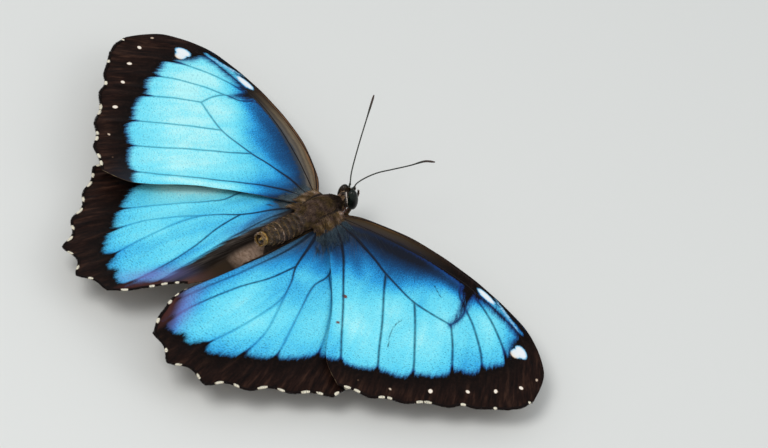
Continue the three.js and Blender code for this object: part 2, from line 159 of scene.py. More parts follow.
HINDWING = {
    "name": "hindwing",
    "hinge": (2.8, -6.0, -0.9),
    "sweep": {"left": 1.6, "right": -1.6},
    "droop": {"left": 7.2, "right": 5.8},
    "lead": [(0.9, 1.3), (6.0, 3.1), (13.8, 1.2), (23.8, -4.0), (31.8, -11.4), (36.7, -18.6), (39.3, -24.5)],
    "vein_ends": [(39.3, -24.5), (39.0, -30.9), (33.6, -38.4), (28.0, -46.4), (22.0, -53.9), (12.8, -57.5),
                  (4.8, -55.1), (0.2, -47.3), (-4.2, -38.4)],
    "scallop": [0.3, 0.7, 1.1, 1.2, 1.8, 1.0, -0.5, 0.2],
    "trail": [(0.95, -4.6), (-1.2, -7.4), (-4.2, -13.0), (-4.4, -24.0), (-4.5, -33.0), (-4.2, -38.4)],
    "crease": [(1.25, 0), (1.25, -16), (1.15, -20), (0.7, -27.5), (0.1, -35), (-0.3, -41.2)],
    "veins": [
        ([(0.9, 0.7), (6.0, 2.5), (13.8, 0.7), (23.8, -4.6), (31.4, -11.8), (36.2, -19.0), (38.7, -25.0)],
         0.26, 0.1),
        ([(1.2, -2.7), (3.7, -8.0), (6.7, -14.7), (9.4, -18.3), (11.7, -22.2)], 0.3, 0.16),
        ([(6.7, -14.7), (6.3, -21.9), (4.6, -30.5), (3.7, -41.2), (3.9, -48.6), (4.7, -54.6)], 0.17, 0.1),
        ([(11.7, -22.2), (12.8, -27.2), (13.4, -36.8), (13.2, -47.4), (12.8, -57.0)], 0.14, 0.1),
        ([(11.7, -22.2), (14.6, -27.1), (17.8, -33.5), (19.8, -42.0), (21.8, -53.4)], 0.14, 0.1),
        ([(1.2, -0.6), (7.7, -4.2), (12.2, -9.5), (13.0, -14.9), (16.7, -21.8), (20.6, -28.7), (24.1, -35.5),
          (27.7, -46.0)], 0.26, 0.1),
        ([(12.2, -9.5), (18.7, -14.3), (24.7, -21.1), (29.7, -29.1), (33.3, -38.0)], 0.15, 0.1),
        ([(7.7, -4.2), (17.0, -6.0), (26.0, -11.5), (33.5, -20.5), (38.6, -30.4)], 0.16, 0.1),
        ([(0.9, -4.0), (2.1, -12.0), (1.9, -24.0), (1.0, -36.0), (0.4, -46.6)], 0.16, 0.08),
    ],
    "border": [(34.0, -14.0), (31.5, -21.0), (28.7, -26.4), (26.8, -30.7), (24.9, -34.5), (22.4, -38.2),
               (20.2, -40.7), (19.1, -43.3), (16.6, -46.1), (15.0, -47.7), (12.9, -46.6), (11.0, -49.9),
               (9.0, -49.1), (6.8, -51.0), (4.0, -51.3), (2.6, -48.6), (-1.0, -43.4), (-3.2, -40.2),
               (-6.0, -38.0)],
    "outside": [(-30, -90), (90, -90), (90, 20)],
    "bars": {"right": [], "left": []},
    "marks": [],
    "dashes": [(0.042, 0.009), (0.097, 0.012), (0.165, 0.009), (0.208, 0.012), (0.280, 0.009),
               (0.333, 0.013), (0.409, 0.008), (0.459, 0.011), (0.530, 0.007), (0.595, 0.007),
               (0.672, 0.007), (0.803, 0.010), (0.888, 0.008), (0.925, 0.009), (0.966, 0.006)],
    "rings_below": [((27.3, -15.6), 3.3), ((22.6, -33.6), 2.6), ((17.6, -40.8), 3.2), ((9.4, -43.2), 3.0)],
}

# The trough for the abdomen: distance in from the crease and slope there in degrees. It grows
# narrow and shallow toward the rear.
GUTTER = {
    "left": {"slopes": [(0, 0), (1.1, 80), (2.6, 80), (4.0, 15), (9.0, 12)], "width": (1.2, 0.75),
             "bend": (1, 0.3)},
    "right": {"slopes": [(0, 0), (1.1, 80), (3.4, 84), (9.0, 70)], "width": (0.9, 0.5), "bend": (1, 0.9)},
}
GUTTER_FULL_TO = 27
GUTTER_END = 40


def smooth_step(value, low, high):
    """0 up to low, 1 from high on, and a smooth rise between."""
    share = np.clip((value - low) / (high - low), 0, 1)
    return share * share * (3 - 2 * share)


def unit(vectors):
    """Each row of vectors at a length of one."""
    return vectors / np.linalg.norm(vectors, axis=1)[:, None]


def edge_curve(stops, shares):
    """Points of a smooth curve through stops, evenly shared between them."""
    stops = np.asarray(stops, float)
    last = len(stops) - 1
    reach = np.asarray(shares, float) * last
    first = np.minimum(np.floor(reach).astype(int), last - 1)
    t = (reach - first)[:, None]
    before, start, end, after = (stops[np.clip(first + k, 0, last)] for k in (-1, 0, 1, 2))
    return bent(start, end, (end - before) / 2, (after - start) / 2, t)


def bent(start, end, pull, push, t):
    """Points at shares t of a bend that leaves start along pull and comes to end along push."""
    return ((2 * (start - end) + pull + push) * t**3 + (3 * (end - start) - 2 * pull - push) * t**2
            + pull * t + start)


def margin_points(wing, shares, inset=0.0):
    """Points of the scalloped outer margin, from the apex at 0 to the inner corner at 1."""
    ends, scallop = np.asarray(wing["vein_ends"]), np.asarray(wing["scallop"])
    reach = np.asarray(shares, float) * len(scallop)
    space = np.minimum(np.floor(reach).astype(int), len(scallop) - 1)
    part = reach - space
    run = ends[space + 1] - ends[space]
    inward = unit(np.stack([run[:, 1], -run[:, 0]], 1))
    dip = scallop[space] * (0.5 - 0.5 * np.cos(2 * np.pi * part)) + inset
    return ends[space] + run * part[:, None] + inward * dip[:, None]


def crease_at(wing, y):
    """How far out the crease of a wing lies, at places along the body."""
    crease = np.asarray(wing["crease"])
    return np.interp(-y, -crease[:, 1], crease[:, 0])


def fold(wing, side, flat, steps=24):
    """The flat wing with the part inside its crease turned down and in under the abdomen."""
    folded = np.column_stack([flat, np.zeros(len(flat))])
    if wing["crease"] is None:
        return folded
    x, z = crease_at(wing, flat[:, 1]), np.zeros(len(flat))
    waning = smooth_step(-flat[:, 1], GUTTER_FULL_TO, GUTTER_END)
    trough = GUTTER[side]
    distances, slopes = np.asarray(trough["slopes"], float).T
    width, bend = (start + (end - start) * waning for start, end in (trough["width"], trough["bend"]))
    inside = (x - flat[:, 0]) * width
    turned = inside > 0
    for i in range(steps):
        slope = np.radians(bend * np.interp((i + 0.5) / steps * inside, distances, slopes))
        x -= np.cos(slope) * inside / steps
        z -= np.sin(slope) * inside / steps
    folded[turned, 0] = x[turned]
    folded[turned, 2] = z[turned]
    return folded


def hang(wing, side, points):
    """Points of the folded wing, turned forward and down about its hinge and set in place."""
    sweep, droop = math.radians(wing["sweep"][side]), math.radians(wing["droop"][side])
    x, y, z = points.T
    x, y = x * math.cos(sweep) - y * math.sin(sweep), x * math.sin(sweep) + y * math.cos(sweep)
    x, z = x * math.cos(droop) + z * math.sin(droop), z * math.cos(droop) - x * math.sin(droop)
    placed = np.column_stack([x, y, z]) + wing["hinge"]
    placed[:, 0] *= SIDES[side]
    return placed


def distance_to(line, points):
    """Distance from each point to a polyline."""
    nearest = np.full(len(points), 1e9)
    for a, b in zip(line[:-1], line[1:]):
        run = b - a
        along = np.clip((points - a) @ run / (run @ run), 0, 1)
        nearest = np.minimum(nearest, np.linalg.norm(points - a - along[:, None] * run, axis=1))
    return nearest


def patch(points, middle, half_length, half_width, turn):
    """A soft round or long patch: 1 at its middle, fading out past its half length and width."""
    c, s = math.cos(math.radians(turn)), math.sin(math.radians(turn))
    off = points - middle
    along, aside = off[:, 0] * c + off[:, 1] * s, off[:, 1] * c - off[:, 0] * s
    return np.exp(-((along / half_length) ** 2 + (aside / half_width) ** 2))


def wing_outline(wing):
    """The membrane's outline, drawn in from the outer margin by the width of the fringe."""
    lead = edge_curve(wing["lead"], np.linspace(0, 0.985, 90))
    margin = margin_points(wing, np.linspace(0.004, 0.996, 260), FRINGE)
    trail = edge_curve(wing["trail"], np.linspace(0.99, 0, 80))
    return np.concatenate([lead, margin, trail])


def inside_outline(outline, points):
    """Which points lie inside a closed outline."""
    found = np.zeros(len(points), bool)
    for (ax, ay), (bx, by) in zip(outline, np.roll(outline, -1, axis=0)):
        if ay == by:
            continue
        crosses = (ay > points[:, 1]) != (by > points[:, 1])
        found ^= crosses & (points[:, 0] < ax + (points[:, 1] - ay) * (bx - ax) / (by - ay))
    return found


def wing_sheet(wing):
    """Flat points and triangles that fill the membrane, closest together at veins, marks and crease."""
    beside_vein, trough_step, rim_gap, least_gap = 0.28, 0.18, 0.12, 0.16
    outline = wing_outline(wing)
    low, high = outline.min(0), outline.max(0)
    places = []
    for i, y in enumerate(np.arange(low[1], high[1], MESH_STEP * 0.866)):
        x = np.arange(low[0] + (i % 2) * MESH_STEP / 2, high[0], MESH_STEP)
        places.append(np.column_stack([x, np.full(len(x), y)]))
    for course, _, _ in wing["veins"]:
        line = edge_curve(course, np.linspace(0, 1, 120))
        run = np.gradient(line, axis=0)
        aside = unit(np.column_stack([-run[:, 1], run[:, 0]]))
        places += [line + aside * off for off in (-beside_vein, 0.0, beside_vein)]
    for middle, half_length, half_width, turn, _ in wing["marks"]:
        angles = np.linspace(0, 2 * np.pi, 13)[:-1]
        ring = np.column_stack([np.cos(angles), np.sin(angles)])
        c, s = math.cos(math.radians(turn)), math.sin(math.radians(turn))
        places += [ring * (half_length * k, half_width * k) @ np.array([[c, s], [-s, c]]) + middle
                   for k in (0.02, 0.45, 0.8, 1.15)]
    if wing["crease"] is not None:
        y = np.arange(-44.0, -0.5, 2 * trough_step)
        for off in np.arange(-0.6, 5.2, trough_step):
            places.append(np.column_stack([crease_at(wing, y) - off, y]))
    places = np.concatenate(places)
    places = places[inside_outline(outline, places)]
    places = places[distance_to(np.vstack([outline, outline[:1]]), places) > rim_gap]
    cells = np.unique(np.round(places / least_gap).astype(int), axis=0, return_index=True)[1]
    places = np.concatenate([outline, places[cells]])
    count = len(outline)
    rim = [(i, (i + 1) % count) for i in range(count)]
    flat, _, triangles, *_ = delaunay_2d_cdt([Vector(p) for p in places], rim, [], 1, 1e-5)
    flat = np.array([tuple(p) for p in flat])
    triangles = np.array([t for t in triangles if len(t) == 3])
    corners = flat[triangles]
    doubled = np.cross(corners[:, 1] - corners[:, 0], corners[:, 2] - corners[:, 0])
    triangles[doubled < 0] = triangles[doubled < 0][:, ::-1]
    return flat, triangles[np.abs(doubled) > 1e-7]


def walled(sheet, count):
    """A sheet, its underside, whose points come count later, and the walls round its rim."""
    edges = np.concatenate([sheet[:, [0, 1]], sheet[:, [1, 2]], sheet[:, [2, 0]]]).tolist()
    known = {tuple(e) for e in edges}
    a, b = np.array([e for e in edges if (e[1], e[0]) not in known]).T
    walls = np.vstack([np.column_stack([a, a + count, b]), np.column_stack([b, a + count, b + count])])
    return [sheet, sheet[:, ::-1] + count, walls]


def vein_distance(wing, flat):
    """How far each place lies from the nearest vein."""
    lines = [edge_curve(course, np.linspace(0, 1, 40)) for course, _, _ in wing["veins"]]
    return np.min([distance_to(line, flat) for line in lines], axis=0)


# Shallow pleats between the veins: a line down each, in the flat wing
PLEATS = {
    "forewing": [[(33, -10.5), (40, -17.5), (46, -24.0)], [(24, -9), (33, -18), (41, -27)],
                 [(14, -8), (22, -16), (32, -27), (36, -32)], [(41, -1.5), (47, -7.5), (53, -14)],
                 [(6, -3.6), (18, -1.2), (30, 0.6), (36, 1.2)], [(10, -10.5), (20, -21), (27, -29)]],
    "hindwing": [[(9.5, -12), (13.5, -25), (16.5, -34), (17.5, -46)],
                 [(14, -17), (19.5, -27.5), (23.5, -37), (25, -46)],
                 [(8.5, -19), (9.6, -30), (8.6, -42), (8.6, -52)],
                 [(16, -12.5), (24, -22), (29, -33), (31, -41)],
                 [(3.9, -14), (3.6, -26), (2.3, -38), (2.2, -47)],
                 [(14, -7), (25, -13.5), (33, -25), (36, -33)], [(4.5, -6), (8.5, -8.5), (10.5, -14)]],
}


def relief(wing, flat, from_vein):
    """How far the membrane stands above the plain plate: it sags between veins and is pleated."""
    height = -SAG * (1 - np.exp(-(from_vein / 1.3) ** 2))
    for line in PLEATS[wing["name"]]:
        away = distance_to(edge_curve(line, np.linspace(0, 1, 24)), flat)
        height = height + PLEAT * np.exp(-(away / 0.7) ** 2)
    x, y = flat.T
    slow = np.sin(x * 0.31 + 1.3 * np.sin(y * 0.17)) * np.sin(y * 0.27 + 0.7)
    return height + WAVE * (slow + 0.5 * np.sin(x * 0.83 - y * 0.55))


def closed_rings(rings, around):
    """Triangles round a stack of rings of points, closed to the two points that come after them."""
    start = np.arange(rings - 1)[:, None] * around
    near = np.arange(around)
    far = (near + 1) % around
    last, low, high = (rings - 1) * around, rings * around, rings * around + 1
    return np.concatenate([
        np.stack([start + near, start + far, start + far + around], -1).reshape(-1, 3),
        np.stack([start + near, start + far + around, start + near + around], -1).reshape(-1, 3),
        np.column_stack([np.full(around, low), far, near]),
        np.column_stack([np.full(around, high), near + last, far + last])])


def outward(points, triangles):
    """The triangles of a closed shape, all turned to face out of it."""
    a, b, c = (points[triangles[:, k]] - points.mean(0) for k in range(3))
    return triangles if (a * np.cross(b, c)).sum() > 0 else triangles[:, ::-1]


def tube(line, radii, sides=VEIN_SIDES):
    """A closed tube along a line of points, drawn to a point at both ends."""
    line = np.asarray(line, float)
    radii = np.broadcast_to(radii, len(line)).astype(float)
    run = unit(np.gradient(line, axis=0))
    up = np.array([0.0, 0.0, 1.0]) if abs(run[0][2]) < 0.9 else np.array([1.0, 0.0, 0.0])
    angles = np.arange(sides) * 2 * np.pi / sides
    rings = []
    for middle, radius, ahead in zip(line, radii, run):
        up = up - ahead * (up @ ahead)
        up /= np.linalg.norm(up)
        round_it = np.outer(np.cos(angles), up) + np.outer(np.sin(angles), np.cross(ahead, up))
        rings.append(middle + radius * round_it)
    return np.vstack([*rings, line[:1], line[-1:]]), closed_rings(len(line), sides)


def joined(pieces):
    """Several (points, triangles) put together as one."""
    offsets = np.cumsum([0] + [len(points) for points, _ in pieces])
    return (np.vstack([points for points, _ in pieces]),
            np.vstack([triangles + offset for (_, triangles), offset in zip(pieces, offsets)]))


def add_piece(name, points, triangles, finishes, slot, nodes=(), facet=None, fields=None, patches=None):
    """Makes a smooth mesh from points in millimetres and fixes it to the insect's body."""
    mesh = bpy.data.meshes.new(name)
    places = np.asarray(points) * 0.001 + np.array(HINGES)
    mesh.from_pydata(places.tolist(), [], np.asarray(triangles).tolist())
    mesh.polygons.foreach_set("use_smooth", [True] * len(mesh.polygons))
    for finish in finishes:
        mesh.materials.append(finish.material)
    if facet is not None:
        mesh.polygons.foreach_set("material_index", np.asarray(facet, np.int32))
    for field, values in (fields or {}).items():
        kind, key = ("FLOAT_VECTOR", "vector") if np.ndim(values) == 2 else ("FLOAT", "value")
        attribute = mesh.attributes.new(field, kind, "POINT")
        attribute.data.foreach_set(key, np.asarray(values, np.float32).ravel())
    if patches is not None:
        corners = np.empty(len(mesh.loops), np.int32)
        mesh.loops.foreach_get("vertex_index", corners)
        unwrap = np.clip(np.asarray(patches), 0.001, 0.999).astype(np.float32)
        mesh.uv_layers.new(name="OFBake").data.foreach_set("uv", unwrap[corners].ravel())
    mesh.update()
    piece = bpy.data.objects.new(name, mesh)
    bpy.context.scene.collection.objects.link(piece)
    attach(piece, "root")
    if nodes:
        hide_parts(*nodes)


def colour(red, green, blue):
    """A colour given as it looks, from 0 to 255, as the shader wants it."""
    shares = np.array([red, green, blue]) / 255
    return (*np.where(shares < 0.04045, shares / 12.92, ((shares + 0.055) / 1.055) ** 2.4), 1.0)


class Finish:
    """A material and the few kinds of node that the finishes here are made of."""

    def __init__(self, name, rough, shine):
        self.material = bpy.data.materials.new(name)
        self.material.use_nodes = True
        self.tree = self.material.node_tree
        self.shader = self.tree.nodes["Principled BSDF"]
        self.set("Roughness", rough)
        self.set("Specular IOR Level", shine)

    def node(self, kind, **values):
        made = self.tree.nodes.new("ShaderNode" + kind)
        for name, value in values.items():
            self.plug(made.inputs[name.replace("_", " ")], value)
        return made

    def plug(self, socket, value):
        if isinstance(value, bpy.types.NodeSocket):
            self.tree.links.new(value, socket)
        else:
            socket.default_value = value

    def set(self, name, value):
        self.plug(self.shader.inputs[name], value)

    def field(self, name, kind="Fac"):
        made = self.node("Attribute")
        made.attribute_name = name
        return made.outputs[kind]

    def fields(self, *names):
        return [self.field(name) for name in names]

    def place(self):
        return self.node("TexCoord").outputs["Object"]

    def maths(self, operation, *values):
        made = self.node("Math")
        made.operation = operation
        for socket, value in zip(made.inputs, values):
            self.plug(socket, value)
        return made.outputs[0]

    def scaled(self, value, times, plus=0.0):
        return self.maths("MULTIPLY_ADD", value, times, plus)

    def swayed(self, value, noise, amount):
        """value moved up and down with a noise of 0 to 1, by half the amount each way."""
        return self.maths("ADD", value, self.scaled(noise, amount, -amount / 2))

    def spread(self, value, low, high):
        """value taken to 0 at low and 1 at high, held between."""
        return self.node("MapRange", Value=value, From_Min=low, From_Max=high).outputs["Result"]

    def grain(self, vector, scale, detail, rough):
        noise = self.node("TexNoise", Vector=vector, Scale=scale, Detail=detail, Roughness=rough)
        return noise.outputs["Fac"]

    def stretch(self, vector, across, along):
        return self.node("Mapping", Vector=vector, Scale=(across, along, 1)).outputs[0]

    def streaks(self, vector, across, along, detail, rough):
        return self.grain(self.stretch(vector, across, along), 1.0, detail, rough)

    def cells(self, vector, scale):
        return self.node("TexVoronoi", Vector=vector, Scale=scale).outputs["Distance"]

    def ramp(self, value, stops):
        made = self.node("ValToRGB", Fac=value)
        points = made.color_ramp.elements
        while len(points) < len(stops):
            points.new(0.5)
        for point, (place, shade) in zip(points, stops):
            point.position = place
            point.color = colour(*shade)
        return made.outputs[0]

    def blend(self, share, first, second):
        made = self.node("Mix")
        made.data_type = "RGBA"
        for socket, value in zip((made.inputs[0], made.inputs[6], made.inputs[7]), (share, first, second)):
            self.plug(socket, value)
        return made.outputs[2]

    def bump(self, height, strength, depth):
        self.set("Normal", self.node("Bump", Height=height, Strength=strength, Distance=depth).outputs[0])


def mottled(name, rough, shine, patch_size, stops, grain_size, strength, depth):
    """Plain horn or skin: one colour in soft patches, with a fine grain in relief."""
    made = Finish(name, rough, shine)
    made.patches = made.grain(made.place(), *patch_size)
    made.plain = made.ramp(made.patches, stops)
    made.set("Base Color", made.plain)
    made.bump(made.grain(made.place(), *grain_size), strength, depth)
    return made


def wing_surface(wing, side, flat, height, nudge=0.02):
    """Points a given height over the plain wing, at places of the flat one."""
    def at(shift_x, shift_y):
        return hang(wing, side, fold(wing, side, flat + (shift_x, shift_y)))

    normal = np.cross(at(nudge, 0) - at(-nudge, 0), at(0, nudge) - at(0, -nudge)) * SIDES[side]
    return at(0, 0) + unit(normal) * np.broadcast_to(height, len(flat))[:, None]


# How light the blue is, partly its own paler middle and partly painted iridescent sheen and shade,
# which also sets the two sides apart: a level for the whole wing, then patches with their middle,
# half length, half width, turn and how much lighter or darker they are.
BLUE_TONE_AND_PAINTED_SHEEN = {
    ("forewing", "right"): (0.53, [
        ((19.0, 3.8), 12.7, 4.9, 1, -0.46), ((14.5, -1.8), 20, 3.8, -13, -0.19),
        ((2.9, -5.1), 6.1, 8.8, -57, -0.46), ((12.9, -8.1), 4.8, 1.6, -32, -0.16),
        ((31.0, 7.0), 7.5, 2.1, 11, -0.51), ((29.1, 4.8), 4.6, 6.9, 0, 0.21),
        ((43.3, 5.1), 11, 4.5, -45, 0.28), ((36.8, -7.4), 16.3, 9, -70, 0.40),
        ((26.1, -8.0), 7.4, 4.1, -73, 0.23), ((25.1, -20.7), 12.6, 7.5, -37, 0.38),
        ((8.5, -9.7), 4.2, 1.8, -41, -0.23), ((14.0, 3.0), 8.5, 2.2, 16, -0.18),
    ]),
    ("forewing", "left"): (0.68, [
        ((21.0, 5.0), 20, 3.0, 11, -0.47), ((14.0, -0.5), 20, 3.0, 5, -0.31),
        ((4.1, -10.0), 9.2, 6.1, -70, -0.70), ((17.5, -4.7), 1.8, 5.2, -65, -0.10),
        ((32.2, -10.5), 14.5, 9, -46, 0.29), ((43.4, 2.7), 14.2, 9, -70, 0.36),
        ((26.3, -20.0), 13.8, 5.1, -50, 0.25), ((31.2, 0.7), 5.3, 3.7, 1, 0.25),
        ((15.8, -17.5), 20, 1.4, -44, 0.26),
    ]),
    ("hindwing", "right"): (0.46, [
        ((6.4, -6.7), 4.4, 1.6, -32, -0.15), ((0.8, -9.0), 20, 4.9, -103, -0.34),
        ((10.6, -14.3), 2.3, 3, -44, 0.14), ((7.3, -34.7), 20, 5.4, -81, 0.37),
        ((14.6, -32.5), 9.3, 3.9, -90, 0.24), ((21.3, -22.0), 20, 9, -84, 0.32),
        ((-4.1, -39.0), 20, 1.5, -52, -0.74),
    ]),
    ("hindwing", "left"): (0.49, [
        ((0.0, -5.8), 4.1, 7.5, -47, -0.49), ((2.8, -14.5), 4.8, 1, -96, -0.29),
        ((20.1, -16.9), 17.7, 9, -62, 0.42), ((5.0, -34.0), 20, 6.5, -82, 0.32),
        ((17.2, -34.3), 11.4, 5.5, -83, 0.26), ((13.1, -34.0), 19.4, 1.7, -76, 0.10),
        # the patch at (19.5, -17.5) lightens the strip under the left forewing's trailing edge: painted
        # light against the shadow of that forewing
        ((3.3, -39.0), 16.3, 1, -92, -0.21), ((19.5, -17.5), 12, 1.6, -49, 0.10),
    ]),
}

# how far the dark hair of the hinge spreads over the base of each wing
ROOT_REACH = {("forewing", "right"): 9.5, ("forewing", "left"): 6.0,
              ("hindwing", "right"): 8.5, ("hindwing", "left"): 6.5}
# where the blue gives way to the wall of the trough that holds the abdomen: hairy, and painted dark
# as the shade within it
TROUGH = {"right": -0.75, "left": 0.85}
# how dark the veins are drawn through the blue, toward the hinge and toward the border
INK = {("forewing", "right"): (0.95, 0.85), ("forewing", "left"): (0.9, 0.55),
       ("hindwing", "right"): (0.85, 0.30), ("hindwing", "left"): (0.85, 0.30)}
# fine cracks and small worn spots in the forewings
CRACKS = {("forewing", "right"): [[(30.4, -10.6), (30.6, -13.0), (32.2, -16.2), (34.2, -18.8)],
                                  [(27.4, 2.6), (29.2, 2.0), (30.8, 1.5)]]}
WORN = {("forewing", "right"): [((18.3, -16.9), 0.75, 1.2), ((22.8, -23.5), 0.65, 1.1),
                                ((20.6, -19.8), 0.3, 0.7), ((36.2, -12.6), 0.5, 0.4),
                                ((45.2, -8.8), 0.45, 0.45)],
        ("hindwing", "right"): [((8.9, -38.5), 0.5, 0.7), ((9.6, -41.8), 0.4, 0.5)]}


def bar_distance(bar, flat):
    """Distance from the edge of a bar that has a half width of its own at each place along it."""
    nearest = np.full(len(flat), 1e9)
    for (ax, ay, start), (bx, by, end) in zip(bar[:-1], bar[1:]):
        a, run = np.array([ax, ay]), np.array([bx - ax, by - ay])
        along = np.clip((flat - a) @ run / (run @ run), 0, 1)
        away = np.linalg.norm(flat - a - along[:, None] * run, axis=1)
        nearest = np.minimum(nearest, away - start - (end - start) * along)
    return nearest


def wing_fields(wing, side, flat):
    """What the wing's finishes need to know of each place on it."""
    name = wing["name"]
    fore = name == "forewing"
    x, y = flat.T
    none = np.zeros(len(flat))
    border_line = edge_curve(wing["border"], np.linspace(0, 1, 160))
    from_border = distance_to(border_line, flat)
    beyond = inside_outline(np.vstack([border_line, wing["outside"]]), flat)
    # the dark band along the leading edge narrows step by step toward the tip
    from_lead, band = none + 9.0, 0.0
    if fore:
        from_lead = distance_to(edge_curve(wing["lead"], np.linspace(0, 1, 80)), flat)
        band = 3.1 - 0.4 * smooth_step(x, 8, 30) - 2.25 * smooth_step(x, 33, 36.5)
        band = band + 0.7 * (side == "left") * smooth_step(x, 26, 16)
    border = np.minimum(np.where(beyond, -from_border, from_border), from_lead - band)
    from_vein = vein_distance(wing, flat)
    border = border - 1.5 * np.exp(-((from_vein / 0.42) ** 2)) * smooth_step(border, 4.5, 0)
    for bar in wing["bars"][side]:
        border = np.minimum(border, bar_distance(bar, flat))
    # the veins are drawn darkest near the hinge and near the border
    inner_ink, outer_ink = INK[name, side]
    ink = inner_ink + (outer_ink - inner_ink) * smooth_step(np.linalg.norm(flat, axis=1), 12, 32)
    ink = np.maximum(ink, 0.9 * smooth_step(border, 4.0, 0.5))
    ink = np.minimum(ink + 0.5 * patch(flat, (4.2, -32.0), 20, 2.4, 84), 0.95)
    # white marks, cracks and worn spots
    white = none
    for *place, strength in wing["marks"]:
        away = np.sqrt(-np.log(np.maximum(patch(flat, *place), 1e-9)))
        white = np.maximum(white, strength * (1 - smooth_step(away, 0.6, 1.3)))
    crack = none + 9.0
    for line in CRACKS.get((name, side), []):
        crack = np.minimum(crack, distance_to(edge_curve(line, np.linspace(0, 1, 20)), flat))
    worn = none
    for middle, reach, amount in WORN.get((name, side), []):
        worn = worn + amount * patch(flat, middle, reach, reach * 0.8, 30)

    def polar(middle, reach):
        out_x, out_y = (flat - middle).T
        return np.column_stack([np.arctan2(out_y, out_x) * reach, np.hypot(out_x, out_y), none])

    # the blue's lightness, painted iridescent sheen and shade included
    level, patches = BLUE_TONE_AND_PAINTED_SHEEN[name, side]
    return {
        "flat": np.column_stack([flat, none]),
        "rays": polar((-2.0, 4.0), 30),
        "fan": polar((-40.0, 110.0), 150.0) if fore else polar((-2.0, 40.0), 90.0),
        "border": border, "vein": from_vein, "ink": ink, "white": white, "crack": crack, "worn": worn,
        "light": level + sum(amount * patch(flat, *place) for *place, amount in patches),
        "rings": np.min([np.linalg.norm(flat - middle, axis=1) / reach
                         for middle, reach in wing["rings_below"]], axis=0),
        "rim": distance_to(margin_points(wing, np.linspace(0, 1, 260)), flat),
        "inner": none + 30.0 if fore else x - crease_at(wing, y),
        "root": np.exp(-(np.linalg.norm(flat - (0.0, -1.5), axis=1) / ROOT_REACH[name, side]) ** 2),
        "lead": from_lead,
        "near": smooth_step(x, 38, 18) if side == "left" else smooth_step(x, 30, 8),
        "rear": np.clip(-y / 50.0, 0, 1),
        "cool": smooth_step(y, 3.6, 4.4),
        "blush": patch(flat, (1.2, -47.4), 6.5, 2.1, -60) * (not fore),
        "lilac": patch(flat, (3.4, -44.8), 7.5, 2.2, -62) * (not fore),
    }


def shingles(finish, rays, strength, depth):
    """Rows of scales, lapped like roof tiles, as fine relief."""
    tiles = finish.cells(finish.stretch(rays, 7.5, 4.2), 1.0)
    finish.bump(finish.scaled(tiles, 0.5, finish.streaks(rays, 1.4, 0.5, 3.0, 0.6)), strength, depth)


BLUE_RAMP = [
    (0.00, (29, 30, 39)), (0.15, (24, 52, 90)), (0.30, (26, 92, 150)), (0.42, (34, 128, 192)),
    (0.54, (48, 166, 232)), (0.66, (78, 200, 243)), (0.76, (102, 221, 248)), (0.86, (126, 233, 251)),
    (0.94, (152, 242, 252)), (1.00, (184, 250, 252)),
]
# dark and pale hair over the wing base
ROOT_TINT = {"right": [(0.35, (30, 32, 36)), (0.52, (56, 62, 68)), (0.68, (92, 94, 92))],
             "left": [(0.35, (38, 44, 50)), (0.52, (70, 92, 104)), (0.68, (108, 118, 120))]}
# the inner margin of the hindwing, from its hinge to its rear corner: its tint, and how much it shows
PALE_EDGE = [(0.10, (84, 140, 160)), (0.25, (110, 168, 186)), (0.40, (112, 190, 214)),
             (0.60, (94, 192, 230)), (0.76, (92, 140, 190)), (0.90, (112, 122, 158))]
PALE_EDGE_SHARE = [(0.10, (190, 190, 190)), (0.45, (150, 150, 150)), (0.60, (70, 70, 70)),
                   (0.80, (200, 200, 200))]
# grey-brown hair of the trough's wall, darkened as painted shade
WALL_HAIR_AND_SHADE = [(0.35, (34, 29, 25)), (0.52, (56, 49, 44)), (0.66, (86, 77, 70))]
LINING = [(0.32, (112, 90, 74)), (0.50, (144, 120, 102)), (0.68, (166, 142, 124))]
RUST = [(0.48, (46, 36, 26)), (0.58, (54, 40, 27)), (0.66, (70, 48, 34)), (0.78, (90, 58, 41))]
# how far each vein's dark line reaches, and its tint from dark to pale blue
VEIN_REACH = {"forewing_right": 0.42}
VEIN_INK = [(0.2, (16, 22, 34)), (0.6, (20, 48, 66)), (1.0, (44, 92, 112))]
BORDER_DARK = [(0.30, (6, 3, 3)), (0.52, (14, 7, 5)), (0.72, (30, 18, 14))]
BORDER_BROWN = [(0.34, (12, 6, 5)), (0.52, (36, 20, 15)), (0.70, (64, 42, 32))]
COOL_MARK = [(0.30, (92, 176, 222)), (0.66, (190, 222, 238)), (0.95, (240, 243, 245))]
CREAM_MARK = [(0.30, (120, 92, 72)), (0.60, (222, 202, 180)), (0.85, (246, 236, 222))]
# how much brown shows through the dark border toward the margin
BROWN = {"right": 0.75, "left": 0.9}
# across the leading edge near the hinge, from the front: dark rim, orange-brown streak, grey-brown
COSTA_RAMP = {
    "right": [(0.00, (26, 18, 13)), (0.07, (60, 40, 22)), (0.13, (86, 62, 36)), (0.22, (60, 45, 28)),
              (0.34, (64, 54, 42)), (0.60, (58, 50, 46)), (0.80, (34, 36, 46))],
    "left": [(0.00, (50, 34, 24)), (0.08, (98, 68, 44)), (0.15, (126, 96, 68)), (0.24, (90, 78, 62)),
             (0.36, (118, 104, 84)), (0.50, (82, 74, 66)), (0.64, (98, 92, 84)), (0.80, (54, 62, 72))],
}


